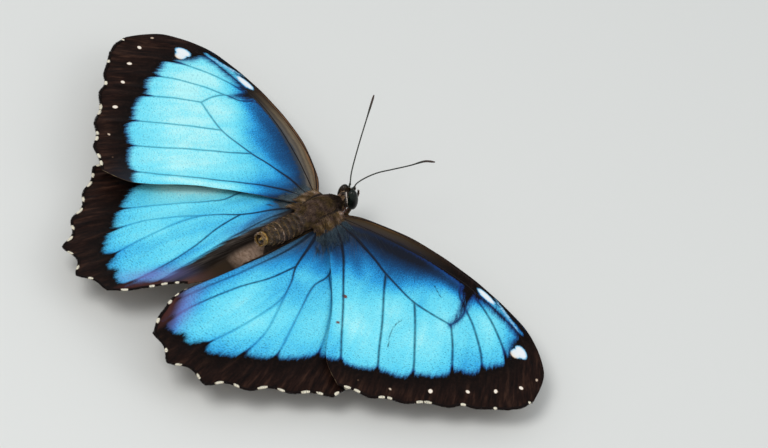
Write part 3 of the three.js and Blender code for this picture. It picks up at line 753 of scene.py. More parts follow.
def upper_finish(name, side):
    """Blue scales with a soft satin lustre, ending in the black-brown border."""
    upper = Finish(f"wing_upper_{name}", 0.42, 0.06)
    blend, ramp, scaled, spread, swayed = upper.blend, upper.ramp, upper.scaled, upper.spread, upper.swayed
    streaks = upper.streaks
    flat, rays, fan = (upper.field(kind, "Vector") for kind in ("flat", "rays", "fan"))
    light_level, vein, rear, near, root = upper.fields("light", "vein", "rear", "near", "root")
    long_streaks = streaks(fan, 0.5, 0.05, 3.0, 0.6)
    cloud = upper.grain(flat, 0.16, 3.0, 0.6)
    powder = streaks(rays, 4.2, 2.2, 2.0, 0.8)
    combed = streaks(rays, 2.6, 0.10, 3.0, 0.7)
    dust = upper.grain(flat, 1.3, 4.0, 0.7)

    # the blue, its paler inner margin and the hair over its root
    # the lightness field carries painted iridescent sheen and shade along with the blue's own paler middle
    light = swayed(swayed(swayed(light_level, long_streaks, 0.16), cloud, 0.20), powder, 0.30)
    # darker right beside each vein: painted shade in the furrow at its foot
    light = scaled(spread(vein, 0.55, 0.15), -0.10, light)
    inward = upper.maths("SUBTRACT", upper.field("inner"), TROUGH[side])
    inward = scaled(spread(rear, 0.44, 0.18), 0.8, inward)
    edge_share = upper.maths("MULTIPLY", spread(inward, 4.0, 0.6), ramp(rear, PALE_EDGE_SHARE))
    blue = blend(edge_share, ramp(light, BLUE_RAMP), ramp(rear, PALE_EDGE))
    root_hair = upper.maths("ADD", root, scaled(combed, 1.5, -0.85))
    blue = blend(scaled(spread(root_hair, 0.12, 0.75), 0.92), blue, ramp(combed, ROOT_TINT[side]))

    # dark specks, rows of darker scales, cracks and worn spots
    specks = scaled(light_level, -0.30, streaks(rays, 3.4, 2.6, 2.0, 0.75))
    lit = spread(light_level, 0.02, 0.40)
    speck_tint = blend(lit, colour(20, 26, 38), colour(24, 64, 104))
    blue = blend(scaled(spread(specks, 0.325, 0.455), 0.66), blue, speck_tint)
    rows = spread(streaks(fan, 0.9, 4.2, 2.0, 0.6), 0.54, 0.66)
    blue = blend(scaled(upper.maths("MULTIPLY", rows, lit), 0.26), blue, colour(40, 112, 150))
    blue = blend(scaled(spread(upper.field("crack"), 0.26, 0.08), 0.75), blue, colour(24, 54, 72))
    blue = blend(spread(swayed(upper.field("worn"), specks, 0.6), 0.25, 0.65), blue, colour(118, 74, 66))

    # the veins, broadest at the root, and the indigo that rims the dark border
    beside = scaled(root, -0.30, vein)
    line = upper.maths("MULTIPLY", spread(beside, VEIN_REACH.get(name, 0.32), 0.10), upper.field("ink"))
    rubbed = spread(upper.grain(rays, 0.8, 3.0, 0.6), 0.30, 0.60)
    blue = blend(upper.maths("MULTIPLY", line, scaled(rubbed, 0.3, 0.7)), blue, ramp(light, VEIN_INK))
    border = swayed(upper.field("border"), streaks(fan, 1.7, 0.28, 3.0, 0.65), 2.4)
    border = swayed(border, streaks(fan, 4.6, 3.2, 2.0, 0.7), 1.5)
    indigo = upper.maths("MULTIPLY", spread(border, 1.5, 0.2), scaled(near, -0.35, 0.80))
    blue = blend(indigo, blue, blend(near, colour(28, 62, 132), colour(26, 44, 74)))

    # the dark border, browner toward the margin, and the leading edge
    brown = ramp(streaks(fan, 0.9, 0.14, 3.0, 0.7), BORDER_BROWN)
    dark = blend(scaled(spread(border, -0.8, -5.5), BROWN[side]), ramp(dust, BORDER_DARK), brown)
    if name.startswith("forewing"):
        lead = swayed(upper.field("lead"), streaks(flat, 0.16, 3.2, 3.0, 0.7), 1.5)
        dark = blend(near, dark, ramp(upper.maths("DIVIDE", lead, 4.0), COSTA_RAMP[side]))
    body = blend(spread(border, 0.50, -0.35), blue, dark)

    # the wall of the trough, hairy and painted dark as the shade within it, its pale lining, and the worn
    # rear corner of the hindwing
    if name.startswith("hindwing"):
        wall_and_shade = ramp(combed, WALL_HAIR_AND_SHADE)
        wall_and_shade = blend(scaled(spread(rear, 0.36, 0.56), 0.5), wall_and_shade, colour(24, 20, 17))
        lining = blend(spread(swayed(rear, cloud, 0.10), 0.42, 0.50), ramp(dust, LINING), ramp(rear, RUST))
        if side == "left":
            wall_and_shade = blend(spread(swayed(inward, combed, 1.2), -2.8, -4.0), wall_and_shade, lining)
        body = blend(spread(swayed(inward, combed, 2.4), 0.5, -0.5), body, wall_and_shade)
        lilac = upper.maths("MULTIPLY", upper.field("lilac"), scaled(spread(border, 0.0, 0.9), 0.55))
        body = blend(lilac, body, colour(126, 128, 196))
        blush = spread(swayed(upper.field("blush"), long_streaks, 1.2), 0.20, 0.80)
        body = blend(scaled(blush, 0.90), body, colour(72, 40, 36))
    white = swayed(upper.field("white"), powder, 0.6)
    mark = blend(upper.field("cool"), ramp(white, CREAM_MARK), ramp(white, COOL_MARK))
    upper.set("Base Color", blend(spread(white, 0.18, 0.50), body, mark))
    upper.set("Roughness", scaled(powder, 0.25, 0.34))
    shingles(upper, rays, 0.35, 0.00012)
    return upper


def vein_finish(name):
    """Hollow struts of dark cuticle, thinly dusted with the scales of the field they cross."""
    vein = Finish(f"wing_vein_{name}", 0.5, 0.15)
    light, ink, border = vein.fields("light", "ink", "border")
    # the dusting follows the blue's lightness, and with it the painted iridescent sheen and shade
    dusted = vein.ramp(light, [
        (0.0, (22, 19, 24)), (0.45, (24, 72, 120)), (0.75, (70, 150, 196)), (1.0, (132, 190, 214))])
    bare = vein.ramp(light, [(0.2, (18, 17, 24)), (0.6, (20, 38, 52)), (1.0, (46, 76, 92))])
    crossing = vein.blend(ink, dusted, bare)
    vein.set("Base Color", vein.blend(vein.spread(border, 0.9, 0.0), crossing, colour(22, 14, 12)))
    vein.bump(vein.grain(vein.field("rays", "Vector"), 6.0, 2.0, 0.6), 0.3, 0.0001)
    return vein


def lower_finish():
    """The underside: brown bands like dead leaf, with black rings edged in yellow."""
    lower = Finish("wing_lower", 0.6, 0.15)
    flat, rays = lower.field("flat", "Vector"), lower.field("rays", "Vector")
    dust = lower.grain(flat, 0.9, 4.0, 0.65)
    far = lower.maths("DIVIDE", lower.swayed(lower.field("rim"), dust, 2.4), 40.0)
    bands = lower.ramp(far, [
        (0.00, (52, 38, 28)), (0.035, (150, 128, 98)), (0.055, (70, 50, 36)), (0.085, (166, 142, 106)),
        (0.11, (92, 68, 48)), (0.30, (104, 78, 54)), (0.40, (172, 150, 112)), (0.43, (84, 60, 42)),
        (0.62, (98, 74, 52)), (0.68, (160, 136, 100)), (0.71, (78, 56, 40)), (1.00, (96, 76, 58))])
    fleck = lower.spread(lower.grain(flat, 3.5, 3.0, 0.7), 0.42, 0.66)
    brown = lower.blend(lower.scaled(fleck, 0.4), bands, colour(58, 42, 32))
    ring = lower.maths("DIVIDE", lower.field("rings"), 2.0)
    disc = lower.ramp(ring, [
        (0.00, (236, 240, 242)), (0.05, (222, 228, 236)), (0.09, (60, 66, 90)), (0.14, (14, 11, 12)),
        (0.34, (18, 13, 12)), (0.37, (196, 148, 62)), (0.44, (208, 168, 88)), (0.47, (44, 32, 24)),
        (0.52, (60, 44, 32))])
    lower.set("Base Color", lower.blend(lower.spread(ring, 0.54, 0.49), brown, disc))
    lower.set("Roughness", lower.scaled(dust, 0.3, 0.45))
    shingles(lower, rays, 0.5, 0.00012)
    return lower


def fringe_finish():
    """Long scales along the margin: cream where the wing's edge dips, black-brown elsewhere."""
    fringe = Finish("wing_fringe", 0.6, 0.1)
    shade = fringe.swayed(fringe.field("pale"), fringe.field("shade"), 0.16)
    fringe.set("Base Color", fringe.ramp(shade, [
        (0.10, (22, 13, 11)), (0.40, (52, 37, 30)), (0.60, (222, 208, 180)), (0.95, (246, 238, 216))]))
    return fringe


def lock_patches(roots):
    """A small patch of the unwrap for each lock, at its root's place."""
    corners = np.array([(x, t) for t in (0, 1, 2) for x in (-1, 0, 1)] + [(0, 3)])
    return (roots[:, None] + corners * (0.0012, 0.001) - (0, 0.0015)).reshape(-1, 2)


def spike_faces(count):
    """Triangles of count closed spikes, each of three rings of three points and a tip."""
    one = [(0, 1, 2), (6, 9, 7), (7, 9, 8), (8, 9, 6)]
    for a, b in ((0, 1), (1, 2), (2, 0), (3, 4), (4, 5), (5, 3)):
        one += [(a, b + 3, b), (a, a + 3, b + 3)]
    return (np.array(one) + 10 * np.arange(count)[:, None, None]).reshape(-1, 3)


def fringe_vanes(wing, side):
    """Flat tapered vanes side by side along the outer margin, in two overlapping rows."""
    rng = np.random.default_rng(11 if side == "left" else 12)
    spacing = 0.085
    length = np.linalg.norm(np.diff(margin_points(wing, np.linspace(0, 1, 400)), axis=0), axis=1).sum()
    count = int(length / spacing)
    shares = (np.arange(count) + rng.uniform(0.2, 0.8, count)) / count
    roots = margin_points(wing, shares, 0.85)
    tips = margin_points(wing, shares, rng.uniform(0.0, 0.12, count))
    lean = rng.normal(0, 0.05, count)[:, None]
    run = unit(margin_points(wing, np.minimum(shares + 0.001, 1))
               - margin_points(wing, np.maximum(shares - 0.001, 0)))
    tips = tips + run * lean
    out = np.array([0.0] * 3 + [0.35] * 3 + [0.75] * 3 + [1.0])
    pale = np.zeros((count, 10))
    for middle, half in wing["dashes"]:
        away = np.hypot((shares[:, None] - middle) / (half * 1.25), (out - 0.5) / 0.62)
        pale = np.maximum(pale, 1 - smooth_step(away, 0.82, 1.05))
    row = np.where(np.arange(count) % 2 == 0, 1.0, -1.0)
    stations = []
    for along, half_width, lift in ((0.0, 0.05, 0.05), (0.35, 0.10, 0.10), (0.75, 0.085, 0.07)):
        middle = roots + (tips - roots) * along
        for aside, raise_by in ((-half_width, -0.012), (0.0, 0.02), (half_width, -0.012)):
            stations.append(wing_surface(wing, side, middle + run * aside, row * lift + raise_by))
    stations.append(wing_surface(wing, side, tips, row * 0.02))
    faces = spike_faces(count) if side == "left" else spike_faces(count)[:, ::-1]
    spots = shares[:, None] * (0.96, 0.0) + (0.02, 0.25 if side == "left" else 0.75)
    spots = spots + rng.uniform(-0.1, 0.1, (count, 1)) * (0, 1)
    fields = {"pale": pale.ravel(), "shade": np.repeat(rng.random(count), 10)}
    points = np.stack(stations, axis=1).reshape(-1, 3)
    add_piece(f"{wing['name']}_{side}_fringe", points, faces, [fringe_scales], "wing", fields=fields,
              patches=lock_patches(spots))


lower_scales = lower_finish()
fringe_scales = fringe_finish()
for wing in (FOREWING, HINDWING):
    flat, sheet = wing_sheet(wing)
    height = relief(wing, flat, vein_distance(wing, flat))
    for side in SIDES:
        name = f"{wing['name']}_{side}"
        points = [wing_surface(wing, side, flat, height + off) for off in (MEMBRANE / 2, -MEMBRANE / 2)]
        faces = walled(sheet if side == "right" else sheet[:, ::-1], len(flat))
        facet = [np.full(len(part), k) for part, k in zip(faces, (0, 1, 1))]
        flats, start = [flat, flat], 2 * len(flat)
        for course, wide, narrow in wing["veins"]:
            line = edge_curve(course, np.linspace(0, 1, 70))
            middle = wing_surface(wing, side, line, relief(wing, line, np.zeros(len(line))))
            strut, around = tube(middle, np.linspace(wide, narrow, len(line)) * 0.5)
            a, b, c = (strut[around[:, k]] for k in range(3))
            points.append(strut)
            flats.append(np.vstack([np.repeat(line, VEIN_SIDES, axis=0), line[:1], line[-1:]]))
            faces.append(around + start)
            facet.append(np.where(np.cross(b - a, c - a)[:, 2] < 0, 1, 2))
            start += len(strut)
        finishes = [upper_finish(name, side), lower_scales, vein_finish(name)]
        add_piece(f"{name}_membrane", np.vstack(points), np.vstack(faces), finishes, "wing", [name],
                  np.concatenate(facet), wing_fields(wing, side, np.vstack(flats)))
        fringe_vanes(wing, side)


# --- Body -------------------------------------------------------------------------------
# One skin runs from the face through the deep thorax and narrow waist to the blunt, ringed
# abdomen. It is dark horn-like cuticle, and its coat of short hair is added after it.
SKIN_STATIONS = np.array([
    # y, x, middle height, half width, half height
    (-23.25, 0.0, 0.80, 0.10, 0.10), (-23.15, 0.0, 0.80, 1.25, 1.35), (-22.75, 0.0, 0.77, 1.82, 1.94),
    (-21.5, 0.05, 0.60, 2.18, 2.22), (-19.0, 0.10, 0.34, 2.48, 2.50), (-16.0, 0.12, 0.00, 2.62, 2.62),
    (-13.6, 0.10, -0.24, 2.55, 2.55), (-12.2, 0.05, -0.38, 2.38, 2.38), (-11.5, 0.0, -0.42, 2.28, 2.28),
    (-11.0, 0.0, -0.40, 2.35, 2.42), (-10.2, 0.0, -0.34, 2.52, 2.74), (-8.6, 0.0, -0.22, 2.74, 2.98),
    (-5.6, 0.0, -0.30, 2.84, 3.12), (-3.0, 0.0, -0.55, 2.60, 2.84), (-1.2, 0.0, -0.85, 2.15, 2.38),
    (-0.1, 0.05, -1.05, 1.62, 1.84), (0.6, 0.12, -1.05, 1.22, 1.50), (1.3, 0.20, -0.90, 1.34, 1.72),
    (2.1, 0.25, -0.78, 1.58, 2.08), (2.8, 0.25, -0.75, 1.64, 2.18), (3.5, 0.25, -0.78, 1.46, 1.95),
    (4.1, 0.25, -0.88, 1.05, 1.46), (4.42, 0.25, -0.95, 0.55, 0.80), (4.5, 0.25, -0.95, 0.05, 0.08),
])
HEAD_TILT = math.radians(8)
ABDOMEN_FROM, ABDOMEN_TO, ABDOMEN_RINGS = -12.0, -22.9, 8


def ring_at(y):
    """How many rings of the abdomen lie ahead of a place along it."""
    return np.clip((ABDOMEN_FROM - y) / (ABDOMEN_FROM - ABDOMEN_TO), 0, 1) * ABDOMEN_RINGS


def skin_point(y, turn):
    """A point of the skin, by its place along the body and its turn from the back, rightward."""
    x, z, half_width, half_height = (
        np.interp(y, SKIN_STATIONS[:, 0], SKIN_STATIONS[:, k]) for k in range(1, 5))
    on_abdomen = smooth_step(-y, 11.8, 12.6) * smooth_step(-y, 23.0, 22.4)
    girth = 1 + on_abdomen * 0.045 * (np.mod(ring_at(y), 1) ** 2 - 0.45)
    side, lift = half_width * girth * np.sin(turn), half_height * girth * np.cos(turn)
    furrow = np.exp(-(turn / 0.10) ** 2) * smooth_step(-y, 1.0, 4.0) * smooth_step(-y, 8.0, 6.0)
    lift = lift - 0.12 * furrow
    tilt = HEAD_TILT * smooth_step(y, 0.0, 1.8)
    across, up = side * np.cos(tilt) - lift * np.sin(tilt), side * np.sin(tilt) + lift * np.cos(tilt)
    return np.column_stack([x + across, y, z + up])


# the stations are drawn through smoothly before anything is laid on them
FINE_STATIONS, SMOOTHING = 600, 7
kernel = np.exp(-np.linspace(-2, 2, 2 * SMOOTHING + 1) ** 2)
kernel /= kernel.sum()
fine_y = np.linspace(SKIN_STATIONS[0, 0], SKIN_STATIONS[-1, 0], FINE_STATIONS)
fine = [fine_y]
for k in range(1, 5):
    column = np.interp(fine_y, SKIN_STATIONS[:, 0], SKIN_STATIONS[:, k])
    fine.append(np.convolve(np.pad(column, SMOOTHING, "edge"), kernel, mode="valid"))
SKIN_STATIONS = np.column_stack(fine)

SKIN_RINGS, SKIN_ROUND = 340, 96
ring_y = SKIN_STATIONS[0, 0] + (SKIN_STATIONS[-1, 0] - SKIN_STATIONS[0, 0]) * (
    0.5 - 0.5 * np.cos(np.linspace(0.02, np.pi - 0.02, SKIN_RINGS)) * 0.25
    + 0.75 * (np.linspace(0, 1, SKIN_RINGS) - 0.5))
turns = np.arange(SKIN_ROUND) * 2 * np.pi / SKIN_ROUND
turns = np.where(turns > np.pi, turns - 2 * np.pi, turns)
skin = skin_point(np.repeat(ring_y, SKIN_ROUND), np.tile(turns, SKIN_RINGS))
skin = np.vstack([skin, skin[:SKIN_ROUND].mean(0), skin[-SKIN_ROUND:].mean(0)])
cuticle = mottled("body_cuticle", 0.5, 0.4, (900.0, 4.0, 0.65),
                  [(0.3, (22, 17, 14)), (0.55, (48, 38, 30)), (0.75, (74, 60, 46))],
                  (6000.0, 3.0, 0.6), 0.5, 0.00008)
cuticle.set("Roughness", cuticle.scaled(cuticle.patches, 0.35, 0.35))
add_piece("body_skin", skin, outward(skin, closed_rings(SKIN_RINGS, SKIN_ROUND)), [cuticle], "hair",
          ["thorax", "abdomen", "head"])


# --- Coat -------------------------------------------------------------------------------
# Fine hair combed toward the tail: olive-brown and thick on the thorax, short and banded on
# the abdomen, buff where the wings are hinged. Each lock grows out of the skin beneath it.
def skin_frame(y, turn, nudge=0.01):
    """Point, outward normal and tailward direction on the skin."""
    point = skin_point(y, turn)
    tailward = skin_point(y - nudge, turn) - skin_point(y + nudge, turn)
    normal = unit(np.cross(tailward, skin_point(y, turn + nudge) - skin_point(y, turn - nudge)))
    x, z = (np.interp(y, SKIN_STATIONS[:, 0], SKIN_STATIONS[:, k]) for k in (1, 2))
    outward_way = (normal * (point - np.column_stack([x, y, z]))).sum(1)
    return point, normal * np.sign(outward_way)[:, None], unit(tailward)


def scatter(count, y_from, y_to, turn_limit, rng):
    """Places spread over a stretch of the skin, as evenly as its girth allows."""
    y = rng.uniform(y_from, y_to, count * 3)
    turn = rng.uniform(-turn_limit, turn_limit, count * 3)
    girth = np.interp(y, SKIN_STATIONS[:, 0], SKIN_STATIONS[:, 3])
    kept = rng.random(len(y)) < girth / girth.max()
    return y[kept][:count], turn[kept][:count]


def skin_patch(y, turn):
    """Where a place of the skin lies on its own unwrap."""
    low, high = SKIN_STATIONS[0, 0], SKIN_STATIONS[-1, 0]
    round_it, along_it = turn / (2 * np.pi) + 0.5, (y - low) / (high - low)
    return np.column_stack(np.broadcast_arrays(0.02 + 0.96 * round_it, 0.02 + 0.96 * along_it))


def locks(roots, normals, lie, length, width, lift, rng, droop=0.35):
    """Tapered, flattened locks of hair with three sides, each bowed over toward the skin."""
    count, root_depth = len(roots), 0.06
    length = np.broadcast_to(length, count) * rng.uniform(0.7, 1.25, count)
    width = np.broadcast_to(width, count) * rng.uniform(0.75, 1.25, count)
    lift = np.broadcast_to(lift, count) * rng.uniform(0.6, 1.4, count)
    lie = unit(lie - normals * (lie * normals).sum(1)[:, None])
    aside = np.cross(lie, normals)
    lie = lie + aside * rng.normal(0, 0.22, count)[:, None]
    rings = []
    for along, girth in ((0.0, 0.8), (0.4, 1.0), (0.75, 0.6), (1.0, None)):
        middle = roots - normals * root_depth + lie * (length * along)[:, None]
        middle = middle + normals * (length * lift * (along - droop * along**2))[:, None]
        if girth is None:
            rings.append(middle)
            break
        for angle in (0.5, 0.5 + 2 / 3, 0.5 + 4 / 3):
            reach, rise = math.cos(math.pi * angle), math.sin(math.pi * angle)
            rings.append(middle + aside * (width * girth * 0.5 * reach)[:, None]
                         + normals * (width * girth * 0.25 * rise)[:, None])
    return np.stack(rings, 1).reshape(-1, 3), spike_faces(count)


def coat_finish(name):
    """Hair: each lock has its own tone, darker at the root and paler at the tip."""
    hair = Finish(name, 0.6, 0.10)
    tone, shade, along = hair.fields("tone", "shade", "along")
    tone = hair.maths("ADD", hair.swayed(tone, shade, 0.22), hair.scaled(along, 0.14, -0.08))
    olive = hair.ramp(tone, [
        (0.00, (14, 8, 4)), (0.18, (36, 24, 12)), (0.34, (62, 49, 29)), (0.48, (94, 76, 50)),
        (0.60, (124, 98, 64)), (0.72, (156, 124, 78)), (0.84, (188, 162, 134)), (1.00, (236, 224, 212))])
    rosy = hair.ramp(tone, [
        (0.00, (16, 9, 8)), (0.18, (42, 27, 22)), (0.34, (74, 57, 51)), (0.48, (104, 84, 76)),
        (0.60, (134, 108, 94)), (0.72, (166, 134, 112)), (0.84, (198, 172, 154)), (1.00, (240, 228, 222))])
    drift = hair.spread(hair.grain(hair.place(), 520.0, 3.0, 0.6), 0.44, 0.60)
    hair.set("Base Color", hair.blend(hair.scaled(drift, 0.8), olive, rosy))
    return hair


def add_coat(name, finish, parts):
    """One coat piece from parts, each (points, triangles, tone of each lock, unwrap of each root)."""
    rng = np.random.default_rng(len(name))
    points, triangles = joined([(p, t) for p, t, _, _ in parts])
    tone = np.concatenate([np.broadcast_to(k, len(u)) for _, _, k, u in parts])
    fields = {"tone": np.repeat(tone, 10), "shade": np.repeat(rng.random(len(tone)), 10),
              "along": np.tile([0, 0, 0, 0.4, 0.4, 0.4, 0.75, 0.75, 0.75, 1.0], len(tone))}
    patches = np.vstack([lock_patches(u) for _, _, _, u in parts])
    add_piece(name, points, triangles, [finish], "hair", fields=fields, patches=patches)


def body_tone(y, turn, rng):
    """Tone of the coat by place: dark chest, olive thorax with a painted sheen down its back, banded abdomen
    paler toward its tip.
    """
    on_abdomen = y < ABDOMEN_FROM
    blotch = np.sin(y * 3.1 + np.cos(turn * 2.3) * 2.0) * np.sin(turn * 4.1 + y * 0.9)
    tone = 0.395 - 0.02 * on_abdomen + (0.065 + 0.085 * on_abdomen) * blotch + rng.normal(0, 0.07, len(y))
    # a lighter streak down the middle of the thorax's back: painted sheen
    tone = tone + 0.05 * np.exp(-(turn / 0.5) ** 2) * smooth_step(-y, 0.0, 3.0) * smooth_step(-y, 11.0, 9.0)
    tone = tone - 0.24 * smooth_step(-y, 3.4, 1.2)
    rear_edge = smooth_step(np.mod(ring_at(y), 1), 0.70, 0.95) * on_abdomen
    golden = np.exp(-((y + 19.2) / 1.7) ** 2)
    tone = tone + rear_edge * (0.09 + 0.22 * golden) + 0.05 * smooth_step(-y, 16.0, 22.0)
    return tone - 0.08 * smooth_step(np.abs(turn), 1.7, 2.6)


hair = coat_finish("coat_hair")
rng = np.random.default_rng(5)
BODY_COAT = [
    # part, from y, to y, from turn, to turn, how many, width, lift
    ("thorax_back", -11.4, 0.7, 0.0, 1.45, 9000, 0.105, 0.42),
    ("thorax_chest", -11.4, 0.7, 1.45, 3.14, 6000, 0.105, 0.42),
    ("abdomen_back", -22.95, -11.3, 0.0, 1.5, 8500, 0.11, 0.26),
    ("abdomen_belly", -22.95, -11.3, 1.5, 3.14, 5500, 0.11, 0.26),
]
for name, y_from, y_to, turn_from, turn_to, count, width, lift in BODY_COAT:
    y, turn = scatter(count, y_from, y_to, 1.0, rng)
    turn = np.sign(turn) * (turn_from + np.abs(turn) * (turn_to - turn_from))
    point, normal, lie = skin_frame(y, turn)
    length = 0.46
    if name.startswith("thorax"):
        lie = lie + np.column_stack([np.sin(turn) * 0.25, np.zeros(len(y)), -0.1 * np.abs(np.sin(turn))])
        length = 0.75 + 0.35 * smooth_step(np.abs(turn), 0.7, 1.6)
    fuzz = locks(point, normal, lie, length, width, lift, rng)
    add_coat(f"coat_{name}", hair, [(*fuzz, body_tone(y, turn, rng), skin_patch(y, turn))])

# Between body and wing: a soft leathery web at each wing root, buried in long grey-brown hair
# that fans out over the base of the wing, with a few buff tufts.
WEBS = {
    # wing: where its root edge starts and ends, turn of its line on the body
    "forewing": ((0.8, -1.0), (1.5, -7.0), 1.12),
    "hindwing": ((0.9, 0.6), (1.25, -4.4), 1.42),
}
BUFF_TUFTS = {
    # wing and side: along the root, out from the body, size of the tuft
    ("forewing", "right"): ((0.10, 0.5, 0.10), (0.30, 0.9, 0.08), (0.72, 0.7, 0.10)),
    ("forewing", "left"): ((0.12, 0.6, 0.12), (0.45, 0.8, 0.10), (0.80, 0.4, 0.10)),
    ("hindwing", "right"): ((0.20, 0.8, 0.08), (0.62, 0.6, 0.08)),
    ("hindwing", "left"): ((0.15, 0.9, 0.10), (0.50, 0.5, 0.10), (0.85, 0.8, 0.08)),
}
WEB_ROWS, WEB_COLUMNS = 9, 14
WEB_BOW, WEB_LIFT, WEB_THICKNESS = 0.42, 0.10, 0.34
WEB_LOCKS, WING_BASE_LOCKS, MARGIN_LOCKS = 1500, 2200, 2600
FLAP_ROWS, FLAP_COLUMNS = 7, 40
FLAP_SAG, FLAP_THICKNESS = 0.25, 0.2
dark_web = mottled("hinge_web", 0.7, 0.1, (1400.0, 4.0, 0.65),
                   [(0.3, (20, 15, 12)), (0.55, (40, 30, 24)), (0.75, (62, 50, 40))],
                   (1400.0, 4.0, 0.65), 0.6, 0.0001)
grey_hair = Finish("coat_wing_base", 0.6, 0.08)
tone = grey_hair.swayed(*grey_hair.fields("tone", "shade"), 0.3)
grey_hair.set("Base Color", grey_hair.ramp(tone, [
    (0.0, (24, 28, 34)), (0.3, (48, 60, 70)), (0.5, (72, 90, 100)), (0.75, (110, 116, 114)),
    (1.0, (156, 148, 140))]))


def add_web(name, side, body, edge, rows, bow, lift, thickness):
    """A thin web from a line on the body to an edge of the wing, bowed up or sagging between them."""
    share = np.linspace(0, 1, rows)[:, None, None]
    top = body + (edge - body) * share
    top[..., 2] += bow * np.sin(np.pi * share[..., 0]) + lift
    points = np.concatenate([top.reshape(-1, 3), top.reshape(-1, 3) - (0, 0, thickness)])
    index = np.arange(rows * len(body)).reshape(rows, -1)
    a, b, c, d = (part.ravel() for part in (index[:-1, :-1], index[1:, :-1], index[1:, 1:], index[:-1, 1:]))
    sheet = np.vstack([np.column_stack([a, c, b]), np.column_stack([a, d, c])])
    sheet = sheet if side == "right" else sheet[:, ::-1]
    add_piece(name, points, np.vstack(walled(sheet, index.size)), [dark_web], "hair")


def on_wing(wing, side, flat, height):
    """Points a given height over the wing, and the way straight up from it there."""
    point = wing_surface(wing, side, flat, height)
    return point, unit(wing_surface(wing, side, flat, 0.5) - point)


root_parts, strand_parts = [], []
for wing in (FOREWING, HINDWING):
    front, rear, body_turn = WEBS[wing["name"]]
    for side, sign in SIDES.items():
        left = side == "left"
        edge = wing_surface(wing, side, np.linspace(front, rear, WEB_COLUMNS) + (0.9, 0), 0.0)
        body = skin_point(np.clip(edge[:, 1], -10.9, -0.3), np.full(WEB_COLUMNS, sign * body_turn))
        body[:, 0] -= sign * 0.25
        add_web(f"{wing['name']}_{side}_root", side, body, edge, WEB_ROWS, WEB_BOW, WEB_LIFT, WEB_THICKNESS)
        # hair on the web, then longer and sparser hair on the base of the wing itself
        count = WEB_LOCKS
        row, column = rng.uniform(0, 1, count), rng.uniform(0, WEB_COLUMNS - 1.01, count)
        near = column.astype(int)
        part = (column - near)[:, None]
        inner, outer = (line[near] * (1 - part) + line[near + 1] * part for line in (body, edge))
        point = inner + (outer - inner) * row[:, None]
        point[:, 2] += WEB_BOW * np.sin(np.pi * row) + 0.08
        along_root = column / (WEB_COLUMNS - 1)
        lie = np.column_stack([np.full(count, sign * 1.0), -0.35 - 0.9 * along_root, np.zeros(count)])
        tone = (0.45 if left else 0.42) + 0.03 * np.sin(along_root * 17 + row * 5)
        tone = tone + rng.normal(0, 0.09, count)
        for place, out, size in BUFF_TUFTS[wing["name"], side]:
            tone = tone + 0.34 * np.exp(-((along_root - place) / size) ** 2 - ((row - out) / 0.3) ** 2)
        length = 0.8 + 0.7 * rng.random(count) * row
        tuft = locks(point, np.tile((0.0, 0.0, 1.0), (count, 1)), lie, length, 0.075, 0.20, rng, droop=0.8)
        root_parts.append((*tuft, np.clip(tone, 0.05, 0.93), skin_patch(point[:, 1], point[:, 0] / 4)))
        count = WING_BASE_LOCKS
        reach = ROOT_REACH[wing["name"], side] * 0.62
        out, back = reach * rng.beta(1.0, 2.2, count), rng.uniform(0.02, 1.0, count)
        slant = 0.15 + 0.75 * back
        flat = np.outer(1 - back, front) + np.outer(back, rear) + np.column_stack([out + 0.5, -out * slant])
        point, above = on_wing(wing, side, flat, 0.10)
        ahead = wing_surface(wing, side, flat + np.column_stack([np.full(count, 0.2), -0.2 * slant]), 0.10)
        length = rng.uniform(0.8, 1.5, count)
        strand = locks(point, above, ahead - point, length, 0.045, 0.06, rng, droop=0.9)
        tone = rng.normal(0.44 if left else 0.27, 0.13, count) + 0.12 * np.exp(-out / 1.5)
        strand_parts.append((*strand, np.clip(tone, 0.02, 0.95),
                             skin_patch(np.clip(point[:, 1], -22, 0), point[:, 0] / 6)))
add_coat("coat_wing_roots", hair, root_parts)
add_coat("coat_wing_bases", grey_hair, strand_parts)

# The inner margins of the hindwings are folded in against the abdomen, and that of the right one
# is edged with dark hair.
FLAPS = {
    # side: from and to along the wing, in from its crease, turn of its line on the body
    "right": (-2.4, -19.0, 1.9, 2.0),
    "left": (-2.2, -9.5, 2.2, 1.9),
}
trail = np.array(HINDWING["trail"])
for side, (y_from, y_to, inset, body_turn) in FLAPS.items():
    flap_y = np.linspace(y_from, y_to, FLAP_COLUMNS)
    crease_x = crease_at(HINDWING, flap_y)
    reach = np.clip(crease_x - np.interp(-flap_y, -trail[:, 1], trail[:, 0]) - 0.15, 0.1, inset)
    edge = wing_surface(HINDWING, side, np.column_stack([crease_x - reach, flap_y]), 0.0)
    body = skin_point(np.clip(edge[:, 1], -23.0, -8.2), np.full(FLAP_COLUMNS, SIDES[side] * body_turn))
    body[:, 0] -= SIDES[side] * 0.5
    add_web(f"hindwing_{side}_flap", side, body, edge, FLAP_ROWS, -FLAP_SAG, 0.0, FLAP_THICKNESS)
count = MARGIN_LOCKS
flat_y, inward = rng.uniform(-24.0, -4.0, count), rng.uniform(-2.0, -0.55, count)
flat = np.column_stack([crease_at(HINDWING, flat_y) + inward, flat_y])
point, above = on_wing(HINDWING, "right", flat, 0.08)
comb = np.tile((-0.55, -1.0, -0.15), (count, 1))
fringe = locks(point, above, comb, rng.uniform(0.7, 1.3, count), 0.07, 0.45, rng, droop=0.6)
add_coat("coat_inner_margin", hair, [(*fringe, np.clip(rng.normal(0.24, 0.08, count), 0.02, 0.9),
                                      skin_patch(np.clip(point[:, 1], -23, 0), 1.6 + inward * 0.2))])


